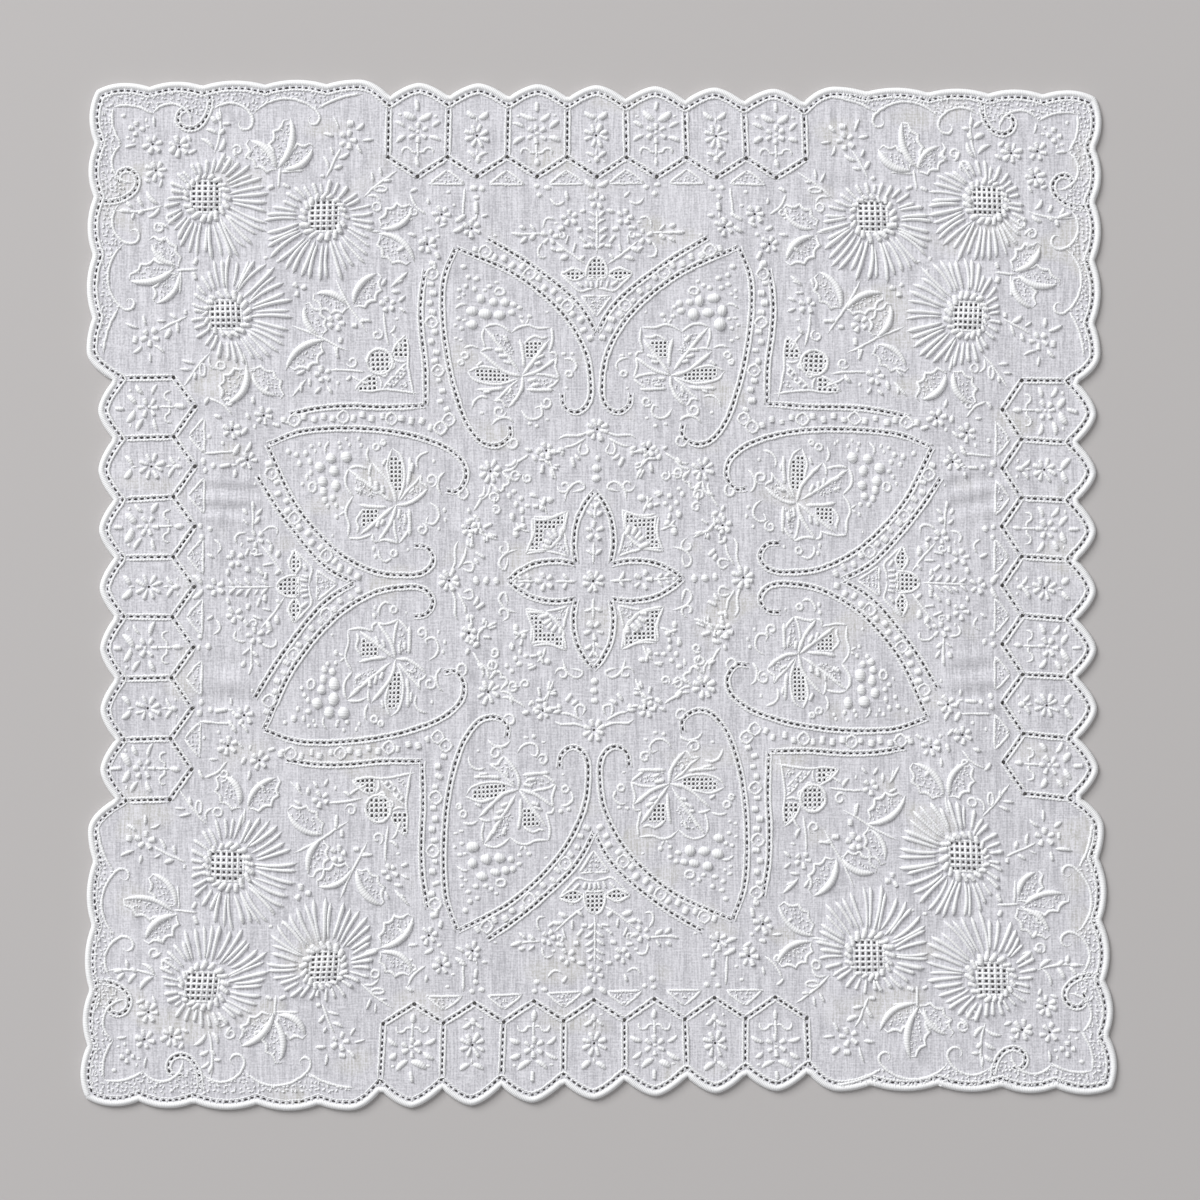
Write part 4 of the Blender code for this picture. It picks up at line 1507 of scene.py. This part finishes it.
@dataclass
class SideFans(Needlework):
    """The fan over the middle of each side: a drawn bud between two drawn leaves, over a seeded peak."""

    name: str = "side_fans"
    lattices: Table = (
        (((-2.8, 91.6), (2.8, 91.6), (2.8, 95.6), (1.2, 97.6), (-1.2, 97.6), (-2.8, 95.6)), 1.3),
        (((3.6, 92.6), (7, 90.9), (10.8, 92.6), (7, 94.6)), 1.3),
    )
    stems: Table = (
        ((0, 98.2), (1.8, 97.2), (3, 94.6), (3.2, 91.6)), ((3.2, 92.8), (6.6, 94.5), (10.6, 92.9)),
        ((3.2, 92.5), (6.6, 90.9), (10.6, 92.7)),
        ((10.8, 92.8), (8.2, 90.2), (5.2, 87.5), (2.4, 88.1), (0, 88.3)),
        ((0, 91.5), (1.6, 91.5), (3, 91.4)), ((0, 79.6), (2.2, 82.8), (4.6, 86)), ((0, 85.9), (4.4, 86)),
    )
    blocks: Table = (
        (0, 89.9, 2.2, 0.42, 90), (1.5, 89.8, 2.2, 0.42, 84), (3, 89.6, 2, 0.42, 74),
        (5.4, 89.8, 2.4, 0.5, 40),
    )
    seeded: Table = (((0, 80.6), (3.6, 85.4), (-3.6, 85.4)),)


@dataclass
class BandFillings(Needlework):
    """The fillings between the two openwork lines of each band: eyelets, with dots between them."""

    name: str = "band_fillings"
    # The middle lines of the two bands, through points
    axis_band: Table = ((35.8, 101), (22.4, 94.6), (10.2, 84.6), (4.6, 77.6), (2.4, 73))
    corner_band: Table = (
        (48.4, 96), (49, 88.6), (49.1, 80), (48.7, 70), (47.8, 62), (47, 54), (44.9, 47.4),
    )
    step: float = 2.78
    blocks_between: int = 4
    block_shift: float = 0.45
    block_length: float = 2.0
    block_half_width: float = 0.84
    eyelet_radius: float = 1.8
    # How far the tips of its lozenge lie out as a share of that, and the points between them
    eyelet_reach: Table = (1.08, 0.94)

    def draw(self, plan: Plan) -> None:
        """Walk along each band and set an eyelet, then dots, in turn."""
        super().draw(plan)
        for points in (self.axis_band, self.corner_band):
            path = smooth_path(points)
            count = int(length_of(path) / self.step)
            places = evenly_along(path, count)
            ahead = normalised(np.gradient(places, axis=0))
            for number, (place, heading) in enumerate(zip(places, ahead)):
                if number % (self.blocks_between + 1) == 1:
                    self.draw_eyelet(place)
                else:
                    angle = math.degrees(math.atan2(heading[1], heading[0])) + 90
                    place = place + self.block_shift * (-1) ** number * turned_left(heading)
                    row = (*place, self.block_length, self.block_half_width, angle)
                    self.draw_blocks(np.array([row]))

    def draw_eyelet(self, place: np.ndarray) -> None:
        """Set a lozenge of thread around a small dot."""
        reach = self.eyelet_radius * np.where(np.arange(8) % 2 == 0, *self.eyelet_reach)
        self.draw_stem(place + reach[:, None] * around(8), closed=True)
        self.draw_dots(np.array([(*place, 0.5)]))


@dataclass
class VineReserves(Needlework):
    """The eight pointed reserves: a vine leaf, a bunch of grapes, and tendrils."""

    name: str = "vine_reserves"
    plump: float = 1.35
    stem_half_width: float = 0.5
    seed_pitch: float = 0.95
    # Veins and rims of the leaf, worked thicker than a stem
    veins: Table = (
        ((22.6, 61), (28, 62.5), (34.9, 68.3)), ((22.6, 61), (17.5, 62.8), (11.9, 66.9)),
        ((36.4, 56.7), (32, 56.8), (28, 57.4)), ((21.3, 57), (17, 56.9), (13.2, 57)),
        ((33.4, 76), (28.5, 69.6), (23.4, 62.4)), ((22.4, 61.4), (18.6, 66.4), (14.2, 72.4)),
        ((22.5, 61), (22.7, 57.6), (24.5, 54.2), (27, 51.4)), ((22, 63.8), (22.2, 68.6), (23, 72.6)),
    )
    stems: Table = (
        ((38.9, 62.2), (34.5, 63.8), (29, 62.8)), ((38.9, 62), (36.6, 59.4), (30, 58.4), (23.6, 60.4)),
        ((34.9, 68.6), (33, 69.4), (31, 69.4)), ((33.3, 69.6), (34.2, 73), (33.7, 75.9)),
        ((33.7, 75.9), (31.5, 77), (28.5, 76.8), (25.5, 74.5)),
        ((25.5, 74.5), (23, 76.4), (20.4, 76.9), (17.5, 76), (13.5, 76.2)),
        ((13.5, 76.2), (13.2, 72.6), (14.2, 68.6)), ((11.8, 66.8), (12.4, 68.4), (14.4, 68.4)),
        ((11.2, 60.3), (14, 61.4), (18.6, 61.8)), ((11.2, 60.3), (13.6, 58.2), (15.4, 57.2)),
        ((11.9, 66.9), (12.4, 64.2), (11.2, 60.3)), ((39.8, 69.6), (37.4, 70.2), (35.2, 69.4)),
        ((23.6, 60), (26.6, 57.6), (29, 55), (31.4, 53.2)),
        ((31.4, 53.2), (29, 53.6), (28.2, 52.2), (27, 51.4)),
        ((38, 50.8), (37.2, 53.2), (35.2, 54.6), (32.8, 54.2)),
        ((21.4, 71.6), (18.6, 73.6), (16.4, 72.9), (14.6, 73.4)), ((22.6, 78.6), (21.4, 77)),
        ((20.2, 79), (21.2, 77.2)), ((42, 82), (40.2, 83.4), (38.4, 83.2)),
        ((9.8, 66.4), (8, 66.6), (6, 64.8), (6.8, 62.6)),
        ((31.9, 46.2), (30.4, 47.8), (27.4, 48.4), (25.2, 47)),
    )
    blocks: Table = (
        (29.2, 69, 2.6, 0.5, 5), (28.2, 67.2, 2.6, 0.5, 10), (27, 65.2, 2.2, 0.5, 15),
        (17, 67, 2.6, 0.46, 160), (17.8, 65.2, 2.4, 0.46, 160), (19.7, 60.2, 2.8, 0.46, 172),
        (18.6, 58.5, 2.6, 0.46, 172), (30.6, 72.6, 2.4, 0.46, 60), (27.2, 72.8, 2.4, 0.46, 60),
        (35.2, 64.8, 2.2, 0.4, 150), (33.4, 56, 2.4, 0.4, 170), (26.2, 56.4, 2, 0.4, 120),
    )
    dots: Table = (
        (34.4, 85.1, 1.65), (30.4, 84.2, 1.5), (27.3, 84, 1.3), (24.8, 83.6, 1.1), (37.2, 81.4, 1.65),
        (33.3, 80.4, 1.75), (28.9, 80.2, 1.75), (37.2, 76.8, 1.75), (25.4, 81, 1.15), (39.6, 94.9, 0.9),
        (38.4, 92.2, 0.95), (35.7, 91.3, 0.85), (38.7, 89.4, 0.85), (36.4, 88.2, 0.9), (31.6, 89.2, 0.8),
        (40.8, 87.6, 0.7), (41.2, 79, 0.7), (39.6, 78.6, 0.65), (40.4, 75.6, 0.75), (42.4, 76.6, 0.6),
        (42.2, 72.6, 0.6), (40.6, 72, 0.65), (22.8, 79.6, 0.75), (20, 79.8, 0.75), (10, 68, 0.75),
        (7.6, 67.8, 0.75), (40.8, 65, 0.55), (33.2, 88, 0.8), (9.2, 57.6, 0.5), (14.6, 81, 0.5),
        (29.8, 90.4, 0.65), (41, 85.4, 0.6), (39.4, 86.4, 0.6), (23, 82.4, 0.8), (35, 49.4, 0.6),
    )
    rings: Table = (
        (28.7, 87.4, 1.4, 1.1), (39.6, 67.2, 0.95, 0.95), (40.9, 65, 0.7, 0.7), (8.3, 61.9, 0.95, 0.9),
    )
    curls: Table = ((29.6, 50.2, 2.1, 170, 1.2), (15.2, 53.2, 1.8, 0, -1.2))
    lattices: Table = (
        (((38, 62.1), (33, 63), (27.6, 62.2), (24.8, 60.4), (29.6, 59), (36.2, 60)), 1.26),
        (((21.9, 65.9), (21.9, 69.6), (20.4, 71.9), (17.4, 72.6), (16, 71.6), (18.6, 67.6)), 1.26),
    )
    seeded: Table = (
        ((32.2, 74.6), (26.8, 73.9), (24, 66), (29, 69)),
        ((20.4, 60.2), (15.4, 60.6), (12.4, 59.2), (14.4, 57.9), (20.6, 57.5)),
        ((23.5, 59.3), (27.6, 55.6), (28.6, 53.9), (27.2, 52.4), (24.2, 55.6)),
    )

    def draw(self, plan: Plan) -> None:
        """Work out the tables, then the veins."""
        super().draw(plan)
        for points in self.veins:
            self.draw_stem(smooth_path(points), width=1.3)


@dataclass
class CentreStar(Needlework):
    """The middle: a daisy in a star of four drawn petals, with fans and small sprays around it."""

    name: str = "centre"
    # The fan on the diagonal: where it springs from on both axes, and distance and angles of its bars
    fan_heart: float = 8.9
    fan_reach: float = 6.2
    fan_angles: Table = (12, 29, 45)
    stem_half_width: float = 0.5
    plump: float = 1.35
    flowers: Table = (
        (0, 0, 8, 0.9, 3.4, 0.68, 22.5), (0, 45.1, 8, 0.95, 3.5, 0.7, 22.5),
        (32.4, 32.4, 8, 0.95, 3.6, 0.7, 22.5), (15.4, 38.8, 6, 0.9, 2.7, 0.78, 10),
        (0, 14.8, 5, 0.8, 3, 0.72, 90),
    )
    leaves: Table = (
        (19.6, 37.4, 18.4, 35.4, 0, 0.62), (12.2, 39.6, 9.8, 39, 0, 0.6),
        (21.6, 39.4, 19.6, 38.6, 0, 0.5), (20.2, 26, 17.8, 25.2, 0, 0.6), (17.2, 22.6, 15.8, 21, 0, 0.75),
        (6.8, 37.6, 4.6, 36.2, 0.1, 0.55), (0.4, 19.2, 2.4, 20.8, 0.1, 0.5),
        (0.4, 21.4, 1.8, 23.2, 0.1, 0.45), (0.4, 7.6, 2.6, 9, 0.1, 0.5), (14.2, 34, 16, 36, 0.1, 0.42),
        (13.2, 34.6, 11.2, 34.2, 0.1, 0.42), (13.6, 33, 12.4, 31, 0.1, 0.42),
        (26.2, 29.6, 28, 31.4, 0.1, 0.5), (36.2, 24.6, 34, 26, 0.1, 0.55), (31.4, 22.8, 31, 25.2, 0, 0.4),
    )
    blocks: Table = (
        (22.4, 18.4, 1.8, 0.45, 80), (25.2, 19.4, 1.8, 0.45, 80), (23.6, 15.6, 2.6, 0.42, 160),
        (36, 16.6, 2.4, 0.36, 90), (33.2, 16.6, 2.8, 0.4, 165), (31.6, 13.8, 2.6, 0.4, 20),
        (38.4, 14.6, 1.9, 0.45, 0), (33.4, 12.6, 1.8, 0.3, 75), (35.4, 7.4, 3, 0.5, 30),
        (38.2, 12.2, 2.2, 0.36, 90),
    )
    dots: Table = (
        (0, 30.5, 1.15), (0, 33.5, 1.15), (0, 36.5, 1.1), (14, 24.2, 1.15), (20.9, 22.6, 0.85),
        (22.8, 24.4, 0.95), (25.2, 26.6, 0.85), (38.2, 18, 0.85), (36.2, 18.4, 0.7), (0, 24.2, 0.6),
        (38.2, 10.6, 0.9), (20.7, 46.4, 0.7), (18, 46, 0.7), (15.2, 48, 0.6),
    )
    stems: Table = (
        ((28.1, 34.3), (26.4, 34.2), (22.6, 36.2), (20.8, 37.6)),
        ((2.6, 44.4), (5.2, 43.3), (7.7, 43.2), (10, 43.2), (11.7, 42.2)),
        ((9.4, 23.6), (8.3, 27.3), (5.4, 29.5), (3.2, 27.9), (5, 26.9), (7.2, 26.6)),
        ((3.6, 40.8), (2.6, 38.4), (4.6, 37.6), (5.6, 38.8), (4.8, 41.2)),
        ((32.4, 28.8), (33, 26), (35.6, 23.6)), ((32.4, 28.8), (29.6, 26.6), (28.6, 27), (28.2, 29)),
        ((14.6, 36.2), (13.8, 34.2), (12.2, 30)), ((17.4, 24.4), (15.6, 22.6), (14.6, 19.8)),
        ((0, 18), (0, 23.4)), ((0, 11.6), (0, 5)),
        ((23, 50.7), (21.5, 48.6), (19, 48), (16.7, 49.5), (17.2, 51.9), (19, 51.2)),
        ((39.8, 10), (40.4, 7), (42.4, 3.6)), ((18.6, 19.3), (13.5, 19), (8.2, 21)),
        ((8.2, 21), (8.9, 16.8), (9, 14.6)), ((9, 14.5), (10.8, 12.8), (12, 11.2), (13.6, 9.7)),
        ((9, 14.5), (8.4, 11), (7.4, 7.6)), ((20.6, 9.3), (17, 9.2), (13.6, 9.7)),
        ((18.6, 19.3), (18.2, 16.4), (18.6, 14), (20.6, 9.3)),
    )
    rings: Table = ((24.8, 31.2, 1.2, 1.4),)
    curls: Table = ((21, 30.6, 1.5, 60, -1.2), (41, 25.6, 2.1, 90, 1.1), (28.2, 9.6, 2.2, 90, 1))
    lattices: Table = (
        (((18.2, 18.2), (13.4, 18.4), (8.9, 20), (9.6, 17.6), (12.8, 16), (15, 15), (16.8, 12.2),
          (18, 10.2), (19.4, 10), (17.6, 14)),
         1.3),
    )
    seeded: Table = (((7.8, 7.8), (12.4, 10.2), (10.2, 12.4)),)

    def draw(self, plan: Plan) -> None:
        """Add the fan of plump bars on each diagonal to the tables, then work them out."""
        for angle in self.fan_angles:
            place = self.fan_heart + self.fan_reach * headings(np.radians(angle))
            self.blocks += ((*place, 2.7, 0.55, angle),)
        super().draw(plan)


@dataclass
class Studio:
    """The table, soft light from the upper left, and a camera straight above."""

    camera_height: float = 1.0
    lens: float = 100.0
    frame_centre: Table = (0.0004, -0.00147)
    key_power: float = 232.0
    key_place: Table = (-2.49, 2.83, 2.64)
    key_size: float = 2.4
    fill_power: float = 3.2
    fill_place: Table = (0.3, -0.2, 1.6)
    fill_size: float = 1.8
    sky: float = 0.35
    table_half: float = 3.0

    def build(self) -> None:
        """Set the table, lights and camera up."""
        mesh = bpy.data.meshes.new("table")
        corners = SQUARE * self.table_half
        mesh.from_pydata(np.column_stack([corners, np.zeros(4)]).tolist(), [], [(0, 1, 2, 3)])
        mesh.materials.append(TableFinish().material())
        new_object("table", mesh)
        self.area_light("key", self.key_place, self.key_size, self.key_power)
        self.area_light("fill", self.fill_place, self.fill_size, self.fill_power)
        world = bpy.data.worlds.new("studio")
        world.use_nodes = True
        background = world.node_tree.nodes["Background"]
        background.inputs["Color"].default_value = (1.0, 1.0, 1.0, 1.0)
        background.inputs["Strength"].default_value = self.sky
        bpy.context.scene.world = world
        bpy.context.scene.view_settings.view_transform = "Standard"
        lens = bpy.data.cameras.new("camera")
        lens.lens = self.lens
        lens.sensor_width = 36.0
        camera = bpy.data.objects.new("camera", lens)
        camera.location = (*self.frame_centre, self.camera_height)
        bpy.context.scene.collection.objects.link(camera)
        bpy.context.scene.camera = camera

    def area_light(self, name: str, place: Table, size: float, power: float) -> None:
        """Hang a square light that faces the middle of the cloth."""
        lamp = bpy.data.lights.new(name, "AREA")
        lamp.size = size
        lamp.energy = power
        light = bpy.data.objects.new(name, lamp)
        light.location = place
        light.rotation_euler = (-Vector(place)).to_track_quat("-Z", "Y").to_euler()
        bpy.context.scene.collection.objects.link(light)


def main() -> None:
    """Build all pieces in order."""
    logging.basicConfig(level=logging.INFO, format="%(message)s")
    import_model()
    plan = Plan()
    satin = ThreadFinish("satin thread", 0.8, 0.0).material()
    stem = ThreadFinish("stem thread", 1.0, 1.1, groove_shade=0.5, depth=0.00022).material()
    buttonhole = ThreadFinish("buttonhole thread", 0.5, 0.0, depth=0.00010).material()

    openwork = Openwork()
    parts = [Asters(), EdgeCells(), CornerBand(), FilledLeaves(), CornerSprays(), DiagonalBuds(),
             SideSprays(), SideFans(), BandFillings(), VineReserves(), CentreStar()]
    for number, part in enumerate([openwork] + parts):
        part.seed = 3 + number
        part.draw(plan)
    holes = [group for part in [openwork] + parts for group in part.holes]
    Lawn().build(plan, holes, LawnFinish().material())
    openwork.build(stem)
    CordedEdge().build(plan, buttonhole)
    for part in parts:
        part.build(satin)
    Studio().build()


if __name__ == "__main__":
    main()
